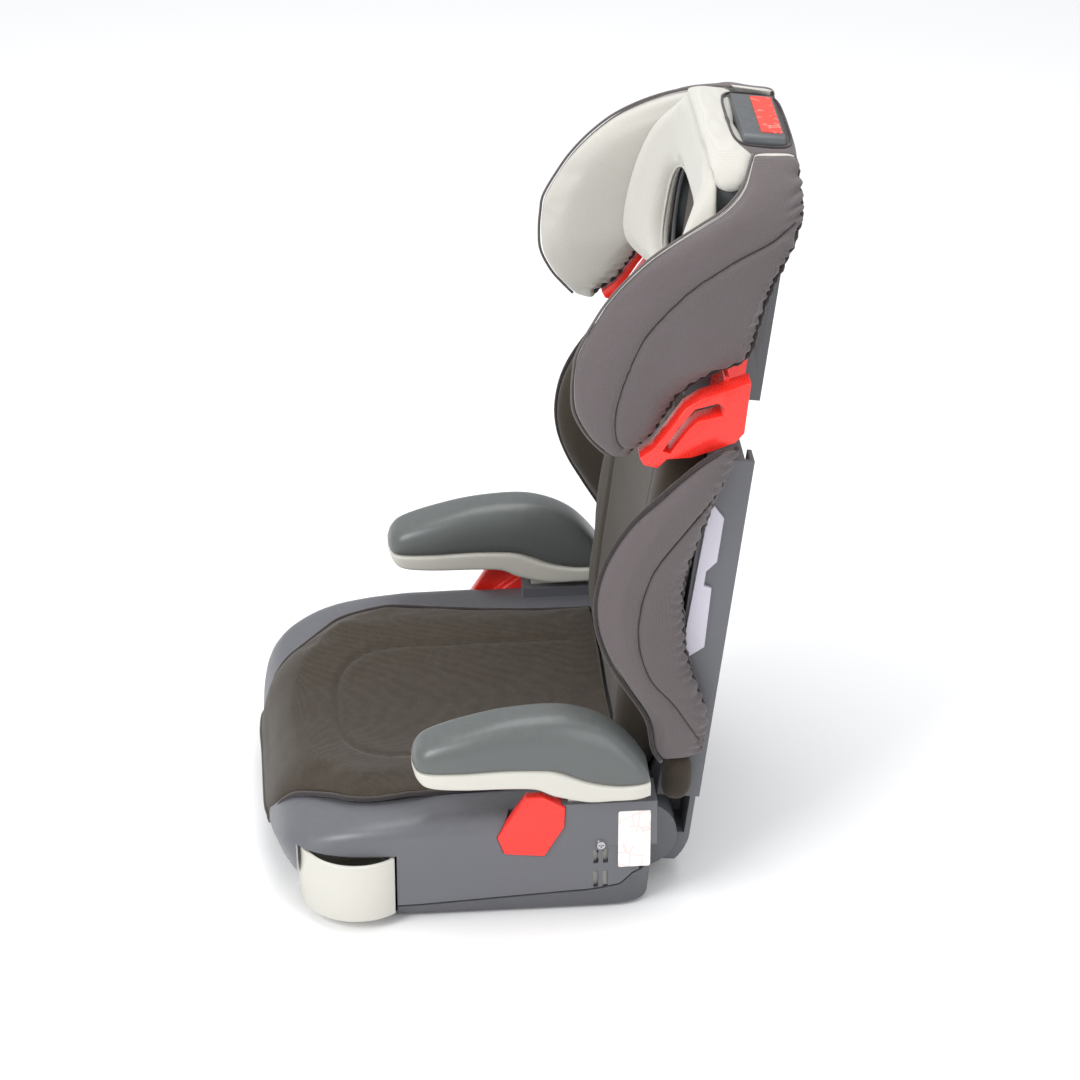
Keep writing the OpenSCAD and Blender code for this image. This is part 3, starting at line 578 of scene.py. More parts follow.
def plastic(name, tone, worn, roughness=0.42, scale=900.0, bump=0.12, radius=0.0012, coat=0.0):
    m, tree, shader = new_finish(name, roughness)
    g = use(tree, grain, Scale=scale, Blotches=0.15)
    w = use(tree, wear, Radius=radius)
    d = use(tree, dust, Amount=0.04)
    darker = tuple(c * 0.94 for c in tone[:3]) + (1,)
    base = blend_colours(tree, g.outputs["Tone"], darker, tone)
    edged = blend_colours(tree, w.outputs["Mask"], base, worn)
    dusty = blend_colours(tree, d.outputs["Mask"], edged, colour(205, 200, 192))
    tree.links.new(dusty, shader.inputs["Base Color"])
    spread = calc(tree, "ADD", calc(tree, "MULTIPLY", g.outputs["Gloss"], 0.5), roughness - 0.1, clamp=True)
    tree.links.new(spread, shader.inputs["Roughness"])
    b = put(tree, "ShaderNodeBump", {
        "Strength": bump, "Distance": 0.0004, "Height": g.outputs["Height"], "Normal": w.outputs["Rounded"]})
    tree.links.new(b.outputs[0], shader.inputs["Normal"])
    shader.inputs["Coat Weight"].default_value = coat
    return m


BASE = plastic("base_plastic", colour(98, 99, 104), colour(140, 141, 146), 0.4)
TRAY = plastic("tray_plastic", colour(84, 85, 90), colour(126, 127, 132), 0.46)
CAP = plastic("armrest_plastic", colour(92, 96, 95), colour(140, 142, 142), 0.36, scale=700.0)
LIGHT = plastic("light_plastic", colour(203, 201, 192), colour(224, 222, 214), 0.38, bump=0.08)
RED = plastic("red_plastic", colour(246, 44, 34), colour(255, 110, 90), 0.3, bump=0.05, coat=0.2)
DARK = plastic("dark_plastic", colour(84, 87, 90), colour(128, 130, 134), 0.42)
RACK = plastic("rack_plastic", colour(140, 142, 146), colour(176, 178, 180), 0.45)
FOAM = plastic("pale_foam", colour(200, 196, 208), colour(214, 211, 220), 0.75, scale=260.0, bump=0.5)
# each cloth's dark and light colours are its painted shade and painted highlight in the knit; the slow tone also
# fades towards the dark one
BROWN = fabric(
    "brown_cover", colour(50, 43, 35), colour(76, 66, 54), rib=1.5, course=1.2, bump=0.22, sheen=0.18)
TAUPE = fabric(
    "taupe_cover", colour(90, 83, 84), colour(114, 106, 107), rib=1.5, course=1.2, bump=0.25, sheen=0.2)
PALE = fabric("light_cover", colour(184, 182, 174), colour(212, 210, 203), rib=1.4, course=1.2, bump=0.15)
PIPING = fabric("piping_cover", colour(44, 38, 38), colour(76, 67, 67), rib=1.2, course=1.2)
THREAD = fabric("thread", colour(36, 30, 27), colour(64, 55, 50), rib=0.8, course=0.8)
print("finishes:", len(bpy.data.materials))

# %% [markdown]
# Zinc-plated steel is a metal with a faint brushed grain. The two labels are printed
# film: plain blocks and slanted strokes stand in for print, with no lettering.

# %% Steel and printed film
STEEL, tree, shader = new_finish("zinc_steel", 0.3)
g = use(tree, grain, Scale=1500.0)
shader.inputs["Metallic"].default_value = 1.0
zinc = blend_colours(tree, g.outputs["Tone"], colour(150, 152, 156), colour(214, 214, 216))
tree.links.new(zinc, shader.inputs["Base Color"])
tree.links.new(calc(tree, "MULTIPLY_ADD", g.outputs["Gloss"], 0.5, 0.12), shader.inputs["Roughness"])


def printed(name, ground, ink, slant):
    m, tree, shader = new_finish(name, 0.35)
    where = put(tree, "ShaderNodeTexCoord")
    turned = put(tree, "ShaderNodeMapping", {
        "Vector": where.outputs["Object"], "Rotation": slant, "Scale": (70, 70, 70)})
    lumps = put(tree, "ShaderNodeTexVoronoi", {"Vector": turned.outputs[0], "Scale": 1.3},
                feature="DISTANCE_TO_EDGE")
    line = calc(tree, "LESS_THAN", lumps.outputs["Distance"], 0.06)
    patchy = put(tree, "ShaderNodeTexNoise", {"Vector": where.outputs["Object"], "Scale": 45.0})
    seen = calc(tree, "MULTIPLY", line, calc(tree, "GREATER_THAN", patchy.outputs[0], 0.5))
    print_colour = blend_colours(tree, calc(tree, "MULTIPLY", seen, 0.35), ground, ink)
    tree.links.new(print_colour, shader.inputs["Base Color"])
    return m


WHITE_LABEL = printed("white_label", colour(240, 236, 231), colour(196, 150, 152), (0.4, 0.2, 0.3))
RED_LABEL = printed("red_label", colour(236, 66, 52), colour(255, 190, 176), (0.1, 0.5, 0.2))
print("materials:", len(bpy.data.materials))

# %% [markdown]
# The hard parts first. Every CAD solid gets the finish of its own slot. Solids whose
# moulded edges catch the light are copied, cleaned and given real rounded edges, and
# the copy stands in for the solid.

# %% Finish of each CAD solid
BY_SLOT = {
    "base_plastic": BASE, "tray_plastic": TRAY, "cap_plastic": CAP,
    "light_plastic": LIGHT, "red_plastic": RED,
    "dark_plastic": DARK, "rack_plastic": RACK, "steel": STEEL, "brown_fabric": BROWN, "taupe_fabric": TAUPE,
    "light_fabric": PALE, "pale_foam": FOAM, "label_white": WHITE_LABEL, "label_red": RED_LABEL,
}
slot_of = {s["node"]: s["material_slot"] for s in frame["record"]["subparts"]}
body_of = {n: b for b, names in frame["record"]["behaviour"]["bodies"].items() for n in names}
for name, obj in nodes.items():
    obj.data.materials.clear()
    obj.data.materials.append(BY_SLOT[slot_of[name]])
    sharpen(obj, 30)
print("nodes finished:", len(nodes))


def rounded_copy(node, radius, name=None, segments=2):
    """A copy of a CAD solid with rounded edges, which stands in for it. radius in mm."""
    mesh = nodes[node].data.copy()
    piece = bpy.data.objects.new(name or node + "_moulding", mesh)
    scene.collection.objects.link(piece)
    bm = bmesh.new()
    bm.from_mesh(mesh)
    bmesh.ops.remove_doubles(bm, verts=bm.verts, dist=2e-6)
    bmesh.ops.dissolve_limit(bm, angle_limit=math.radians(0.6), verts=bm.verts, edges=bm.edges)
    bm.to_mesh(mesh)
    bm.free()
    m = piece.modifiers.new("edges", "BEVEL")
    m.width = radius * MM
    m.segments = segments
    m.limit_method = "ANGLE"
    m.angle_limit = math.radians(35)
    apply_modifiers(piece)
    sharpen(piece, 40)
    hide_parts(node)
    return settle(piece, body_of[node])


ROUNDED = {
    "cup_holder_left": 1.5, "cup_holder_right": 1.5, "lap_guide_left": 1.2, "lap_guide_right": 1.2,
    "shoulder_guide_left": 1.1, "shoulder_guide_right": 1.1, "adjust_handle": 4.5, "side_foam_left": 1.4,
    "side_foam_right": 1.4, "back_shell": 0.9, "stop_rack": 0.8, "head_carrier": 0.8,
}
for node, radius in ROUNDED.items():
    rounded_copy(node, radius, segments=3 if radius > 2 else 2)
print("rounded:", sorted(ROUNDED))

# %% [markdown]
# The base is one bulging shell with full front corners. Its parting line to the tray
# climbs towards the rear and steps up behind the armrest. Rings of points that follow
# that line make the two skins, and cutters open the cup pockets, the armrest wells,
# the belt guides' seats and the room for the backrest's legs, as in the CAD.

# %% Base skins
HALF_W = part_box("base_shell")[1][0] / MM
FRONT, BACK_Y, RIM_Z, SHOULDER = 172.0, 162.0, 104.0, 22.0
PART_LINE = np.array([
    [-175, 17], [-71, 17], [-19, 18], [25, 19], [77, 24], [104, 25], [130, 29], [141, 39], [165, 44]])


def base_ring(z, inset, front_in, level=18, count=168):
    a = (np.arange(count) + 0.5) * TURN / count
    rear = np.sin(a) > 0
    mid = -20.0
    reach = np.where(rear, BACK_Y - inset * 0.3 - mid, FRONT - front_in + mid)
    # the front corners are nearly square low down and rounder at the rim
    e = np.where(rear, 0.14, np.interp(level, [66, RIM_Z], [0.4, 0.66]))
    x = (HALF_W - inset) * power(np.cos(a), e)
    y = mid + reach * power(np.sin(a), e)
    z = z(y) if callable(z) else np.full(count, float(z))
    return np.stack([x, y, z], axis=1) * MM


def chin(z):
    return 26 * (max(62 - z, 0) / 44) ** 2


def part_z(y):
    return np.interp(y, PART_LINE[:, 0], PART_LINE[:, 1])


BROW = np.array([
    [-180, 34], [-172, 42], [-170, 50], [-165, 60], [-160, 67],
    [-155, 72], [-150, 76], [-145, 79], [-130, 84.5],
    [-115, 90], [-100, 94], [-80, 97], [-50, 102], [-20, 110], [20, 120]])
SOFTNESS = 5.0


def brow_z(y):
    """How high the shell's top may rise, which falls towards the front edge."""
    return np.interp(y, BROW[:, 0], BROW[:, 1])


def under_brow(ring):
    """Presses the ring under the sloping brow, with a soft turn where the two meet."""
    ring = ring.copy()
    over = (ring[:, 2] / MM - brow_z(ring[:, 1] / MM)) / SOFTNESS
    ring[:, 2] -= SOFTNESS * MM * np.logaddexp(0, over)
    return ring


shell_rings = [base_ring(part_z, 1.6, chin(18) + 1.6), base_ring(lambda y: part_z(y) + 1.2, 0, chin(19))]
for k in range(1, 11):
    t = k / 10
    level = 19 + t * 63
    shell_rings.append(base_ring(
        lambda y: (1 - t) * (part_z(y) + 1.2) + t * (RIM_Z - SHOULDER), 0, chin(level), level))
for k in range(1, 9):
    a = math.radians(k * 90 / 8)
    inset = SHOULDER * (1 - math.cos(a))
    z = RIM_Z - SHOULDER + SHOULDER * math.sin(a)
    shell_rings.append(base_ring(z, inset, inset, z))
shell_rings[1:] = [under_brow(r) for r in shell_rings[1:]]
shell = skin("base_shell_moulding", shell_rings, [BASE])
tray_rings = [base_ring(0.4, 16, 56), base_ring(1.2, 13, 53), base_ring(4, 8, 46)]
for k in range(1, 6):
    t = k / 5
    tray_rings.append(base_ring(
        lambda y: (1 - t) * 4 + t * (part_z(y) - 2), 8 - 7 * t, 46 - t * (44 - chin(18))))
tray_rings.append(base_ring(lambda y: part_z(y) - 1.0, 2.4, chin(18) + 3.4))
tray = skin("base_tray_moulding", tray_rings, [TRAY])
print("base rings:", len(shell_rings), "tray rings:", len(tray_rings))

# %% [markdown]
# What is cut from a moulding is easiest as solids of their own: boxes, drums and
# outlines drawn out along x. The EXACT solver is slower than the fast one, and it
# copes with faces that lie in one plane, which these cutters often have.

# %% Cutters for the base


def box_piece(a, b, name="cutter"):
    x, y, z = zip(a, b)
    points = [(x[i], y[j], z[k]) for i in (0, 1) for j in (0, 1) for k in (0, 1)]
    faces = [(0, 1, 3, 2), (4, 6, 7, 5), (0, 4, 5, 1), (2, 3, 7, 6), (0, 2, 6, 4), (1, 5, 7, 3)]
    return make_piece(name, np.array(points) * MM, faces, [BASE])


def prism(outline, x0, x1, name="cutter", mats=None):
    """An outline in y and z, in mm, drawn out along x."""
    n = len(outline)
    points = [(x, y, z) for x in (x0, x1) for y, z in outline]
    faces = [tuple(range(n)), tuple(range(2 * n - 1, n - 1, -1))]
    faces += [(i, (i + 1) % n, n + (i + 1) % n, n + i) for i in range(n)]
    return make_piece(name, np.array(points) * MM, faces, mats or [BASE])


def drum(y, z, radius, x0, x1, count=96):
    a = np.arange(count) * TURN / count
    return prism([(y + radius * math.cos(t), z + radius * math.sin(t)) for t in a], x0, x1)


def boolean(piece, cutters, operation="DIFFERENCE"):
    for c in cutters:
        m = piece.modifiers.new("cut", "BOOLEAN")
        m.object = c
        m.operation = operation
        m.solver = "EXACT"
    apply_modifiers(piece)
    for c in cutters:
        bpy.data.objects.remove(c)


DISH_HALF, DISH_DEEP = HALF_W - 36, 27.0
DISH_R = (DISH_HALF ** 2 + DISH_DEEP ** 2) / (2 * DISH_DEEP)
DISH_Z = RIM_Z - DISH_DEEP


def dish_at(x):
    return DISH_Z + DISH_R - np.sqrt(DISH_R ** 2 - np.asarray(x, float) ** 2)


a = np.linspace(-0.42, 0.42, 61)
trough = [(DISH_R * math.sin(t), DISH_Z + DISH_R - DISH_R * math.cos(t)) for t in a]
trough += [(DISH_R * math.sin(0.42), 190), (-DISH_R * math.sin(0.42), 190)]
n = len(trough)
dish_faces = [tuple(range(n)), tuple(range(2 * n - 1, n - 1, -1))]
dish_faces += [(i, (i + 1) % n, n + (i + 1) % n, n + i) for i in range(n)]
dish_points = np.array([(x, y, z) for y in (-230, 230) for x, z in trough]) * MM
dish = make_piece("cutter", dish_points, dish_faces, [BASE])
boolean(shell, [dish])
HINGE_Y, HINGE_Z = HINGE[1] / MM, HINGE[2] / MM
towers, cuts, tray_cuts = [], [], []
LAP = np.array([[23, 84], [29, 67], [64, 63], [81, 92], [82, 112], [62, 124], [48, 124]], float)
LAP_WIDE = np.array([52, 94]) + (LAP - [52, 94]) * 1.012
for s in (1, -1):
    towers.append(box_piece(
        (min(s * 169, s * HALF_W), 76, 70), (max(s * 169, s * HALF_W), BACK_Y - 0.3, 114)))
    for target in (cuts, tray_cuts):
        target.append(box_piece((min(s * 104, s * 236), -150, 9), (max(s * 104, s * 236), -64, 69)))
    cuts.append(box_piece((min(s * 177, s * 201), 84, 18), (max(s * 177, s * 201), 152, 130)))
    cuts.append(prism(LAP_WIDE, s * 189.8, s * 240))
    for dy in (-4.2, 4.2):
        for z0, z1 in ((27, 44), (52, 66)):
            x0, x1 = sorted((s * 194, s * 212))
            cuts.append(box_piece((x0, 113 + dy - 2.2, z0), (x1, 113 + dy + 2.2, z1)))
boolean(shell, towers, "UNION")
# the rear room is what the legs sweep: two blocks less the round beam, and the hooks' discs
rear_room = box_piece((-159, HINGE_Y - 34, -5), (159, 240, 140))
beam = drum(HINGE_Y, HINGE_Z, 32.5, -170, 170)
boolean(beam, [box_piece((-170, 60, 20), (170, HINGE_Y - 10, 104))], "UNION")
boolean(rear_room, [beam])
boolean(shell, cuts + [rear_room])
boolean(shell, [drum(HINGE_Y, HINGE_Z, 33, -157.9, 157.9)], "UNION")
boolean(shell, [drum(HINGE_Y, HINGE_Z, 47.3, s * 106 - 6.6, s * 106 + 6.6) for s in (1, -1)])
chamfer = prism([(130, 0), (152, 0), (185, 19), (185, -20), (130, -20)], -220, 220)
boolean(tray, tray_cuts + [box_piece((-159, 99, -2), (159, 240, 60)), chamfer])
for piece, node in ((shell, "base_shell"), (tray, "base_tray")):
    sharpen(piece, 32)
    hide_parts(node)
    settle(piece, "base")
print("base faces:", len(shell.data.polygons), "tray faces:", len(tray.data.polygons))

# %% [markdown]
# Each armrest is a soft-cornered grey cap on a pale rim. The rim and the post that
# slides in the base are one moulding, so the post is joined to the rim's skin.

# %% Armrests
ARM_X = 190.0
# along the armrest: y, parting line, top, half width
CAP_ROWS = [
    [-49, 160, 164, 7], [-45, 157, 172, 18], [-35, 157, 180, 24], [-8, 158, 189, 27.5], [30, 159, 198, 27.5],
    [72, 156, 201, 27.5], [100, 144, 196, 27], [124, 138, 183, 26],
    [143, 137, 162, 24.5], [154, 137, 143, 20.5]]
RIM_ROWS = [
    [-49, 155, 160, 7], [-45, 147, 156.6, 18.5], [-35, 141, 156.6, 25],
    [-8, 139, 157.6, 28], [30, 138, 158.6, 28],
    [56, 136, 157.6, 28], [72, 128, 155.6, 28], [100, 121, 143.6, 28], [124, 121, 137.6, 27.5],
    [143, 121, 136.6, 26.5], [155, 122, 136.6, 22.5]]


def cap_ring(row, count=72):
    y, z0, z1, half = row
    z0, z1 = z0 + 0.5, max(z1, z0 + 2)
    a = np.arange(count) * TURN / count
    c, s = np.cos(a), np.sin(a)
    up = c > 0
    x = half * np.where(up, power(s, 0.62), power(s, 0.25))
    z = z0 + np.where(up, (z1 - z0) * power(np.maximum(c, 0), 0.75), c * 0.4)
    return np.stack([x, np.full(count, y), z], axis=1)


def rim_ring(row, count=64):
    y, z0, z1, half = row
    z1 -= 0.5
    a = (np.arange(count) + 0.5) * TURN / count
    z = (z0 + z1) / 2 + (z1 - z0) / 2 * power(np.cos(a), 0.3)
    return np.stack([half * power(np.sin(a), 0.3), np.full(count, y), z], axis=1)


for side, s in (("left", 1), ("right", -1)):
    shift = np.array([s * ARM_X, 0, 0])
    rings = [(cap_ring(r) * [s, 1, 1] + shift) * MM for r in smooth_rows(CAP_ROWS, 66)]
    cap = skin(f"armrest_cap_{side}_moulding", rings, [CAP])
    sharpen(cap, 50)
    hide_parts(f"armrest_cap_{side}")
    settle(cap, f"armrest_{side}")
    rings = [(rim_ring(r) * [s, 1, 1] + shift) * MM for r in smooth_rows(RIM_ROWS, 66)]
    rim = skin(f"armrest_frame_{side}_moulding", rings, [LIGHT])
    x0, x1 = sorted((s * 177.6, s * 200.4))
    post = box_piece((x0, 84.6, 64), (x1, 151.4, 132))
    x0, x1 = sorted((s * 181, s * 200.4))
    leg = box_piece((x0, 103, 22), (x1, 123, 66))
    boolean(rim, [post, leg], "UNION")
    for z in (72, 62, 52, 44):
        boolean(rim, [drum(113, z, 3.1, s * 160, s * 220, 24)])
    sharpen(rim, 40)
    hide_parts(f"armrest_frame_{side}")
    settle(rim, f"armrest_{side}")
    print("armrest", side, len(cap.data.polygons), len(rim.data.polygons))

# %% [markdown]
# The seat cover is one padded sheet that lies in the dish and turns down over the
# front edge. Rings run across it, from the back to the lower hem of the front skirt.
# Its filling is thick in the middle and thin at the hem. The pressed oval is sewn
# after the stuffing, because a seam pulls in cloth that is already full.

# %% Seat cover
PAD_HALF, PAD_T = 170.0, 13.0
# along the cover: y, drop below what it lies on, tilt from lying (0) to hanging (1), share of the half width
PAD_ROWS = [
    [141, 0, 0, 0.88], [118, 0, 0, 0.88], [80, 0, 0, 0.885], [40, 0, 0, 0.9], [-10, 0, 0, 0.93],
    [-50, 0, 0, 0.955], [-80, 0, 0, 0.945], [-100, 0, 0, 0.905], [-115, 0, 0, 0.83],
    [-130, 0, 0.04, 0.76], [-145, 0, 0.12, 0.695], [-156, 0.5, 0.3, 0.645],
    [-164, 1, 0.55, 0.605], [-169, 2, 0.8, 0.575], [-172.5, 2.5, 0.95, 0.555],
    [-175, 1, 1, 0.545], [-176, 2.5, 1, 0.54]]


def cover_ring(row, count=48):
    y, drop, tilt, share = row
    half = PAD_HALF * share
    s = np.linspace(-1, 1, count + 1)
    x = half * np.sin(s * math.pi / 2 * 0.98) / math.sin(math.pi / 2 * 0.98)
    thick = PAD_T * np.sqrt(np.maximum(1 - np.abs(x / (half + 2)) ** 7, 0.05)) * (1 - 0.45 * tilt)
    base = np.minimum(dish_at(x), brow_z(y)) + 1.2 - drop
    fwd, lift = math.sin(tilt * math.pi / 2), math.cos(tilt * math.pi / 2)
    top = np.stack([x, y - thick * fwd + 7 * tilt, base + thick * lift], axis=1)
    low = np.stack([x, np.full(len(x), y) + 7 * tilt, base], axis=1)
    return np.concatenate([top, low[::-1]]) * MM


rows = smooth_rows(PAD_ROWS, 84)
rows[:, 2] = np.clip(rows[:, 2], 0, 1)
seat = skin("seat_cover", [cover_ring(r) for r in rows], [BROWN])
plump(seat, 3.0)
finer(seat)
half_oval = [(95, 112), (95, 60), (95, 0), (95, -35)]
a = np.linspace(0, math.pi / 2, 14)
half_oval += [(95 * max(math.cos(t), 0) ** 0.72, -38 - 69 * math.sin(t) ** 0.72) for t in a[1:]]
oval = [(x, y, 0) for x, y in half_oval] + [(-x, y, 0) for x, y in half_oval[-2::-1]]
oval = even_path(np.array(oval) * MM, 0.004)
oval = drop_on(seat, oval + [0, 0, 0.2], (0, 0, -1))
press_seam(seat, oval, 2.2, 3.0)
ripple(seat, np.ones(len(seat.data.vertices)), 0.7, 0.035)
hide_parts("seat_pad")
settle(seat, "base")
thread_path = drop_on(seat, oval + [0, 0, 0.05], (0, 0, -1))
settle(stitches("seat_cover_stitches", thread_path, [THREAD]), "base")
print("seat cover points:", len(seat.data.vertices))

# %% [markdown]
# A cord is sewn round the edge of the cover. It follows the middle of every ring's
# end, down one side, along the hem in front and up the other side.

# %% Hem of the seat cover
hem = []
for r in smooth_rows(PAD_ROWS, 84):
    ring = cover_ring(r)
    hem.append((ring[0] + ring[-1]) / 2)
left = [p * [-1, 1, 1] for p in hem]
bottom = cover_ring(PAD_ROWS[-1])
front = (bottom[:49] + bottom[:48:-1]) / 2
loop = even_path(np.array(hem + list(front)[1:-1] + left[::-1]), 0.005)
piping = tube("seat_cover_piping", loop, 0.0022, [PIPING])
settle(piping, "base")
print("piping length in mm:", round(len(loop) * 5))

# %% [markdown]
# The wings are stuffed panels with a thin edge in front and behind. Each ring is a
# lens: a front edge, a rear edge and the padding between them. The outer face and the
# inner face are different cloths, so the skin takes its material by column.

# %% Wings
# up the wing: w, front edge, rear edge, x in front, x behind, thickness
TORSO_ROWS = [
    [88, 6, 38, 176, 164, 8], [104, -4, 41, 181, 162, 18],
    [135, -14, 38, 184, 162, 24], [165, -36, 25, 186, 160, 27],
    [192, -55, 14, 186, 160, 28], [220, -68, 8, 185, 160, 28], [250, -73, 3, 184, 160, 28],
    [284, -69, 6, 183, 160, 28], [320, -53, 14, 182, 160, 26], [352, -28, 20, 181, 162, 22],
    [380, -4, 26, 180, 164, 14], [394, 14, 29, 178, 168, 7]]
HEAD_ROWS = [
    [372, -76, -60, 156, 152, 8], [380, -86, -56, 158, 152, 16], [392, -98, -43, 158, 150, 22],
    [411, -110, -33, 158, 148, 26], [431, -114, -22, 158, 146, 28], [450, -115, 2, 158, 145, 28],
    [466, -114, 29, 158, 144, 28], [494, -103, 35, 156, 142, 28], [512, -94, 38, 154, 140, 28],
    [531, -81, 43, 152, 137, 28], [550, -64, 50, 149, 133, 28], [566, -44, 57, 144, 124, 28],
    [579, -24, 61, 137, 114, 27], [588, -8, 62, 129, 104, 26], [596, 4, 61, 117, 93, 24],
    [603, 12, 60, 104, 84, 21], [610, 17, 59, 89, 75, 17], [617, 22, 57, 72, 67, 9]]
COLUMNS = 72


def wing_ring(row):
    w, v_front, v_rear, x_front, x_rear, thick = row
    front, rear = np.array([x_front, v_front]), np.array([x_rear, v_rear])
    chord = rear - front
    out = np.array([chord[1], -chord[0]]) / max(np.linalg.norm(chord), 1)
    a = np.arange(COLUMNS) * TURN / COLUMNS
    # a full round edge in front, a thin one behind
    along = np.where(np.cos(a) > 0, (1 - power(np.cos(a), 0.6)) / 2, (1 - power(np.cos(a), 0.85)) / 2)
    bulge = thick / 2 * power(np.sin(a), 0.75)
    p = front + chord * along[:, None] + out * bulge[:, None]
    return np.stack([p[:, 0], p[:, 1], np.full(COLUMNS, w)], axis=1)


def wing(name, rows, s, outer, inner, count, cap):
    rings = [on_back(wing_ring(r) * [s, 1, 1]) for r in smooth_rows(rows, count)]
    piece = skin(name, rings, [outer, inner], paint=lambda k, i: 0 if i < COLUMNS // 2 else 1)
    plump(piece, cap)
    finer(piece)
    return piece


def local(piece):
    """Points of a piece in the backrest's frame, in mm."""
    p = coords(piece) - HINGE
    return np.stack([p[:, 0], p @ REAR, p @ UP], axis=1) / MM


def near_edge(piece, rows, reach):
    """1 at the wing's rear edge, fading to 0 at reach, in mm."""
    q = local(piece)
    fine_rows = smooth_rows(rows, 200)
    rear = np.interp(q[:, 2], fine_rows[:, 0], fine_rows[:, 2])
    return np.clip(1 - (rear - q[:, 1]) / reach, 0, 1)


def gather(piece, rows, reach=20.0, height=1.6, pitch=9.0):
    """Elastic in the rear hem gathers the cloth into small upright folds."""
    q = local(piece)
    share = near_edge(piece, rows, reach)
    wander = np.array([noise.noise(Vector((0, c[1] / 30, c[2] / 22))) for c in q])
    wave = np.sin(q[:, 2] / pitch * TURN + wander * 7 + q[:, 1] * 0.12)
    set_coords(piece, coords(piece) + vertex_normals(piece) * (wave * share ** 1.4 * height * MM)[:, None])


def edge_path(rows, s, front=True, skip=0, push=0.0):
    out = []
    for r in smooth_rows(rows, 120)[skip:]:
        out.append((s * r[3 if front else 4], r[1 if front else 2] + push, r[0]))
    return on_back(out)


def face_path(piece, line, s, x_start):
    """A line given in v and w, dropped onto the wing's outer face."""
    rows = smooth_rows([(x_start * s, v, w) for v, w in line], 90)
    return drop_on(piece, on_back(rows), (-s, 0, 0))


# the sewn line on the outer face, in v and w
HEAD_SEAM = [
    (56, 580), (36, 569), (11, 558), (-10, 545), (-29, 530), (-51, 504), (-65, 480), (-75, 440), (-77, 412),
    (-73, 392), (-66, 382)]
TORSO_SEAM = [
    (24, 366), (17, 350), (-8, 313), (-28, 280), (-35, 242),
    (-32, 210), (-18, 178), (6, 152), (24, 128), (36, 110)]
for side, s in (("left", 1), ("right", -1)):
    for kind, rows, seam_line, inner, body, count, slot in (
            ("torso", TORSO_ROWS, TORSO_SEAM, BROWN, "backrest", 76, "taupe_fabric"),
            ("head", HEAD_ROWS, HEAD_SEAM, PALE, "headrest", 84, "taupe_fabric")):
        piece = wing(f"{kind}_wing_{side}_cover", rows, s, TAUPE, inner, count, 2.5)
        path = face_path(piece, seam_line, s, 200)
        press_seam(piece, path, 2.0, 2.4)
        gather(piece, rows)
        rear_share = near_edge(piece, rows, 90)
        ripple(piece, rear_share * 0.9 + 0.1, 1.5, 0.03, seed=3.0)
        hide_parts(f"{kind}_wing_{side}")
        settle(piece, body)
        path = face_path(piece, seam_line, s, 200)
        settle(tube(f"{kind}_wing_{side}_seam", path, 0.0007, [THREAD], sides=6), body)
        edge = even_path(edge_path(rows, s, True, 0, -1.0), 0.005)
        cord, width = (TAUPE, 0.0012) if kind == "head" else (PIPING, 0.0019)
        settle(tube(f"{kind}_wing_{side}_piping", edge, width, [cord]), body)
        rear = even_path(edge_path(rows, s, False, 4, -0.5), 0.003)
        k = np.arange(len(rear))
        ruffle = 0.0021 + 0.0007 * np.sin(k * 1.9) + 0.0004 * np.sin(k * 0.83)
        settle(tube(f"{kind}_wing_{side}_elastic", rear, ruffle, [PIPING]), body)
        print(piece.name, len(piece.data.vertices))

# %% [markdown]
# The back cover is a padded panel that curves forward at both sides, with a narrow
# part over the neck. Two upright channels divide it into a middle and two sides.

# %% Back cover
BACK_ROWS = [
    [43, 112, -14, 2], [68, 130, -21, 8], [110, 142, -23, 14], [200, 150, -22, 18], [300, 154, -20, 18],
    [352, 148, -18, 14], [390, 118, -12, 6]]
PAD_REAR = 10.4
CHANNEL = ((84, 70), (92, 150), (96, 240), (94, 320), (84, 372))


def back_ring(row, count=48):
    w, half, mid, rise = row
    s = np.linspace(-1, 1, count + 1)
    x = half * s
    edge = np.sqrt(np.maximum(1 - np.abs(s) ** 14, 0.0))
    v = PAD_REAR + (mid - rise * np.abs(s) ** 3 - PAD_REAR) * (0.12 + 0.88 * edge)
    front = np.stack([x, v, np.full(len(x), w)], axis=1)
    rear = np.stack([x[::-1][1:-1], np.full(len(x) - 2, PAD_REAR), np.full(len(x) - 2, w)], axis=1)
    return on_back(np.concatenate([front, rear]))


back = skin("back_cover", [back_ring(r) for r in smooth_rows(BACK_ROWS, 80)], [BROWN])
neck = skin("neck_cover", [back_ring([w, 80, -2.6, 0.0]) for w in np.linspace(384, 592, 30)], [BROWN])
plump(back, 2.5)
finer(back)
for s in (1, -1):
    line = on_back(smooth_rows([(s * x, -60, w) for x, w in CHANNEL], 60))
    line = drop_on(back, line, REAR)
    press_seam(back, line, 3.0, 3.2)
    line = drop_on(back, line - REAR * 0.02, REAR)
    side = "left" if s > 0 else "right"
    settle(stitches(f"back_cover_stitches_{side}", line, [THREAD]), "backrest")
ripple(back, np.ones(len(back.data.vertices)), 0.8, 0.04, seed=9.0)
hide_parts("back_pad")
for piece in (back, neck):
    settle(piece, "backrest")
print("back cover points:", len(back.data.vertices))

# %% [markdown]
# At hip height the end of the back cover is tucked round the frame and shows as a
# small soft lump under each wing. Stacked rounded outlines that shrink towards both
# ends give that shape.

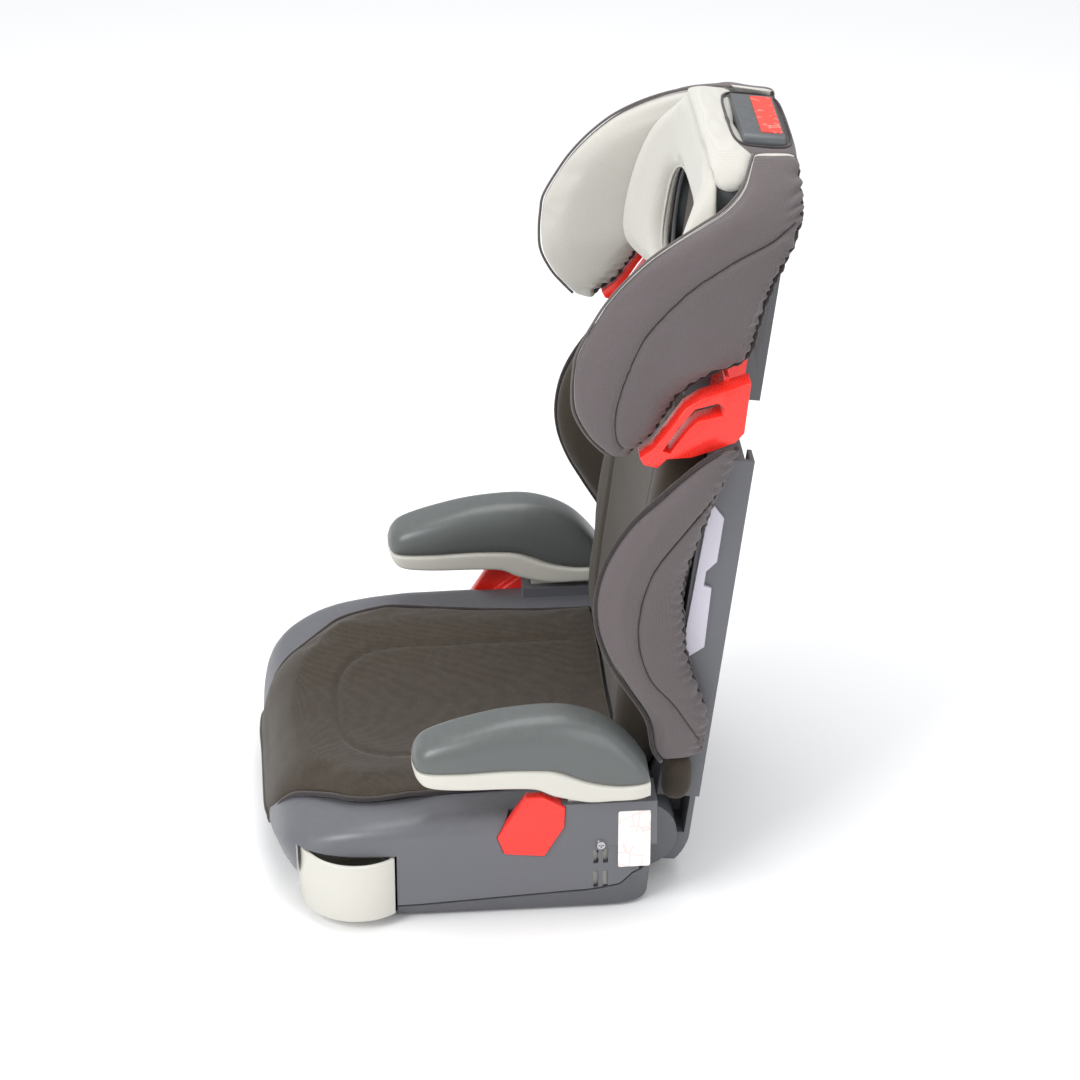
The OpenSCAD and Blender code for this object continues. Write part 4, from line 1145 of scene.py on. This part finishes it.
# %% Hip covers
HIP_X, HIP_V, HIP_W, HIP_HALF = 160.5, 24, 65.5, 23
for side, s in (("left", 1), ("right", -1)):
    rings = []
    for w in np.linspace(43, 88, 24):
        full = math.sqrt(max(1 - abs((w - HIP_W) / HIP_HALF) ** 3, 0.02))
        a = np.arange(36) * TURN / 36
        x = s * (HIP_X + 10.5 * full * power(np.cos(a), 0.8))
        v = HIP_V + 13 * full * power(np.sin(a), 0.8)
        rings.append(on_back(np.stack([x, v, np.full(36, w)], axis=1)))
    hip = skin(f"hip_cover_{side}", rings, [BROWN])
    ripple(hip, np.ones(len(hip.data.vertices)), 1.2, 0.016, seed=s)
    settle(hip, "backrest")
    print(hip.name, len(hip.data.vertices))

# %% [markdown]
# The headrest's inner cover is a ring of padding around an arched window. Its skin is
# built around the window: each ring starts at the window's edge, crosses the front
# to the outline, and comes home behind. A swept outline would leave no clean edge at
# the window, which is why the rings run outwards instead of upwards.

# %% Inner head cover
WINDOW_W, WINDOW_HALF, WINDOW_RISE = 499.0, 84.0, 53.0
HEAD_PAD_ROWS = [
    [436, 110, -16, 28], [450, 127, -20, 36], [500, 131, -18, 36], [556, 121, -14, 28], [590, 100, -12, 12],
    [611, 78, -11, 3]]
fine_pad = smooth_rows(HEAD_PAD_ROWS, 60)


def pad_front(x, w):
    half, mid, rise = (np.interp(w, fine_pad[:, 0], fine_pad[:, k]) for k in (1, 2, 3))
    return mid - rise * min(abs(x) / half, 1) ** 4


def window_reach(angle):
    """How far the arched window reaches from its centre in a direction."""
    c, s = abs(math.cos(angle)) / WINDOW_HALF, abs(math.sin(angle)) / WINDOW_RISE
    return (c ** 3 + s ** 3) ** (-1 / 3)


def outline_reach(angle):
    """How far the pad reaches from the window's centre in a direction."""
    dx, dw = math.cos(angle), math.sin(angle)
    reach = window_reach(angle) + 4
    while True:
        x, w = dx * reach, WINDOW_W + dw * reach
        if not 437 < w < 610 or abs(x) > np.interp(w, fine_pad[:, 0], fine_pad[:, 1]):
            return reach
        reach += 0.5


SPOKES, FRONT_STEPS, REAR_STEPS = 176, 24, 6
reaches = np.array([outline_reach(k * TURN / SPOKES) for k in range(SPOKES)])
for _ in range(3):
    reaches = (np.roll(reaches, 1) + 2 * reaches + np.roll(reaches, -1)) / 4
rings = []
for k in range(SPOKES):
    angle = k * TURN / SPOKES
    inner_reach = window_reach(angle)
    ring = []
    for i in range(FRONT_STEPS + 1):
        t = (1 - math.cos(i / FRONT_STEPS * math.pi)) / 2
        r = inner_reach + (reaches[k] - inner_reach) * t
        x, w = r * math.cos(angle), WINDOW_W + r * math.sin(angle)
        swell = max(1 - abs(2 * t - 1) ** 6, 0) ** 0.5
        ring.append((x, -9.9 + (pad_front(x, w) + 9.9 - 2) * swell, w))
    for i in range(1, REAR_STEPS):
        t = 1 - i / REAR_STEPS
        r = inner_reach + (reaches[k] - inner_reach) * t
        ring.append((r * math.cos(angle), -9.7, WINDOW_W + r * math.sin(angle)))
    rings.append(on_back(ring))
head = skin("head_cover", rings, [PALE], wrap=True)
plump(head, 2.0)
finer(head)
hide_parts("head_pad")
settle(head, "headrest")
edge = []
for k in range(120):
    angle = k * TURN / 120
    r = window_reach(angle) + 1
    x, w = r * math.cos(angle), WINDOW_W + r * math.sin(angle)
    edge.append((x, -9.9 + (pad_front(x, w) + 7.9) * 0.45, w))
settle(tube("window_piping", on_back(edge), 0.0013, [PALE], closed=True), "headrest")
print("head cover points:", len(head.data.vertices))

# %% [markdown]
# A pale roll closes the inner cover at the top. Round the handle the cover is cut
# out, and a padded deck with a dark cord edges the hole. The deck is a ring of
# outlines that rises from the hole, crosses the top and comes down outside.

# %% Top roll and handle collar
TOP_END, ROLL_HEIGHT, NECK_TOP = 98.0, 15.0, 601.8
rings = []
for x in np.linspace(-TOP_END, TOP_END, 57):
    reach = abs(x)
    top = np.interp(reach, [0, 40, 68, 86, 102], [617, 618, 617, 609, 601])
    low = max(top - ROLL_HEIGHT, NECK_TOP if reach < 88 else 0)
    rear = np.interp(reach, [0, 68, 102], [12, 20, 14]) + 3
    full = max(1 - (reach / (TOP_END + 1)) ** 10, 0.02) ** 0.5
    a = np.arange(40) * TURN / 40
    v = (rear - 15) / 2 + (rear + 15) / 2 * full * power(np.cos(a), 0.7)
    w = (top + low) / 2 + (top - low) / 2 * full * power(np.sin(a), 0.7)
    rings.append(np.stack([np.full(40, x), v, w], axis=1))
roll = skin("head_top_cover", [on_back(r) for r in rings], [PALE])
ripple(roll, np.ones(len(roll.data.vertices)), 0.9, 0.03, seed=5.0)
settle(roll, "headrest")
COLLAR_V = 33.5
# outwards over the padded deck round the handle: half length, half depth, height
DECK_ROWS = [
    [49.5, 19.5, 601], [50, 20, 611], [53, 22.5, 616], [58, 26, 617.5],
    [66, 28.5, 615], [74, 30.5, 608], [77, 31, 601]]
rings = []
for half, depth, w in smooth_rows(DECK_ROWS, 24):
    a = (np.arange(120) + 0.5) * TURN / 120
    v = COLLAR_V + depth * power(np.sin(a), 0.5)
    rings.append(on_back(np.stack([half * power(np.cos(a), 0.4), v, np.full(120, w)], axis=1)))
deck = skin("handle_collar", rings, [TAUPE], wrap=True)
ripple(deck, np.ones(len(deck.data.vertices)), 0.8, 0.02, seed=7.0)
settle(deck, "headrest")
lip = []
for k in range(120):
    t = k * TURN / 120
    lip.append((57 * power(math.cos(t), 0.4), COLLAR_V + 25.4 * power(math.sin(t), 0.5), 618))
settle(tube("handle_collar_edge", on_back(lip), 0.0012, [PIPING], closed=True), "headrest")
print("deck points:", len(deck.data.vertices))

# %% [markdown]
# The two return springs under the handle are real coils, joined as one piece.

# %% Return springs
SPRING_W0, SPRING_W1, TURNS = 572.0, 602.5, 9
SPRING_X, SPRING_V, COIL_R = 14, 48.6, 4
coils = []
for s in (1, -1):
    k = np.linspace(0, 1, TURNS * 24 + 1)
    x = s * SPRING_X + COIL_R * np.cos(k * TURNS * TURN)
    v = SPRING_V + COIL_R * np.sin(k * TURNS * TURN)
    path = on_back(np.stack([x, v, SPRING_W0 + k * (SPRING_W1 - SPRING_W0)], axis=1))
    coils.append(tube("coil", path, 0.0006, [STEEL], sides=8))
springs = join("return_spring_coils", coils)
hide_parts("return_spring")
ends = [tuple(on_back((0, SPRING_V, w))) for w in (SPRING_W0, SPRING_W1)]
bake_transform(springs)
print("spring points:", len(springs.data.vertices))

# %% [markdown]
# A pale floor and large soft lamps, as in a catalogue studio. The key lamp stands in
# front of the seat on the camera's side, a second lamp fills from behind the seat.

# %% Studio
floor = make_piece("floor", [(-8, -8, 0), (8, -8, 0), (8, 8, 0), (-8, 8, 0)], [(0, 1, 2, 3)], [])
paper, tree, shader = new_finish("floor_paper", 0.8)
shader.inputs["Base Color"].default_value = (0.93, 0.93, 0.93, 1)
floor.data.materials.append(paper)


def lamp(name, place, size, watts, aim=(0, 0, 0.3)):
    data = bpy.data.lights.new(name, "AREA")
    data.size = size
    data.energy = watts
    obj = bpy.data.objects.new(name, data)
    obj.location = place
    obj.rotation_euler = (Vector(aim) - Vector(place)).to_track_quat("-Z", "Y").to_euler()
    scene.collection.objects.link(obj)


lamp("key_lamp", (1.6, -2.0, 2.2), 1.4, 62)
lamp("fill_lamp", (2.4, 1.6, 1.2), 1.8, 22)
lamp("top_lamp", (-0.4, 0.2, 2.8), 2.0, 45)
world = bpy.data.worlds.new("studio_air")
world.use_nodes = True
world.node_tree.nodes["Background"].inputs["Color"].default_value = (0.97, 0.98, 1, 1)
world.node_tree.nodes["Background"].inputs["Strength"].default_value = 0.62
scene.world = world
scene.view_settings.view_transform = "Standard"
print("lamps:", len(bpy.data.lights))
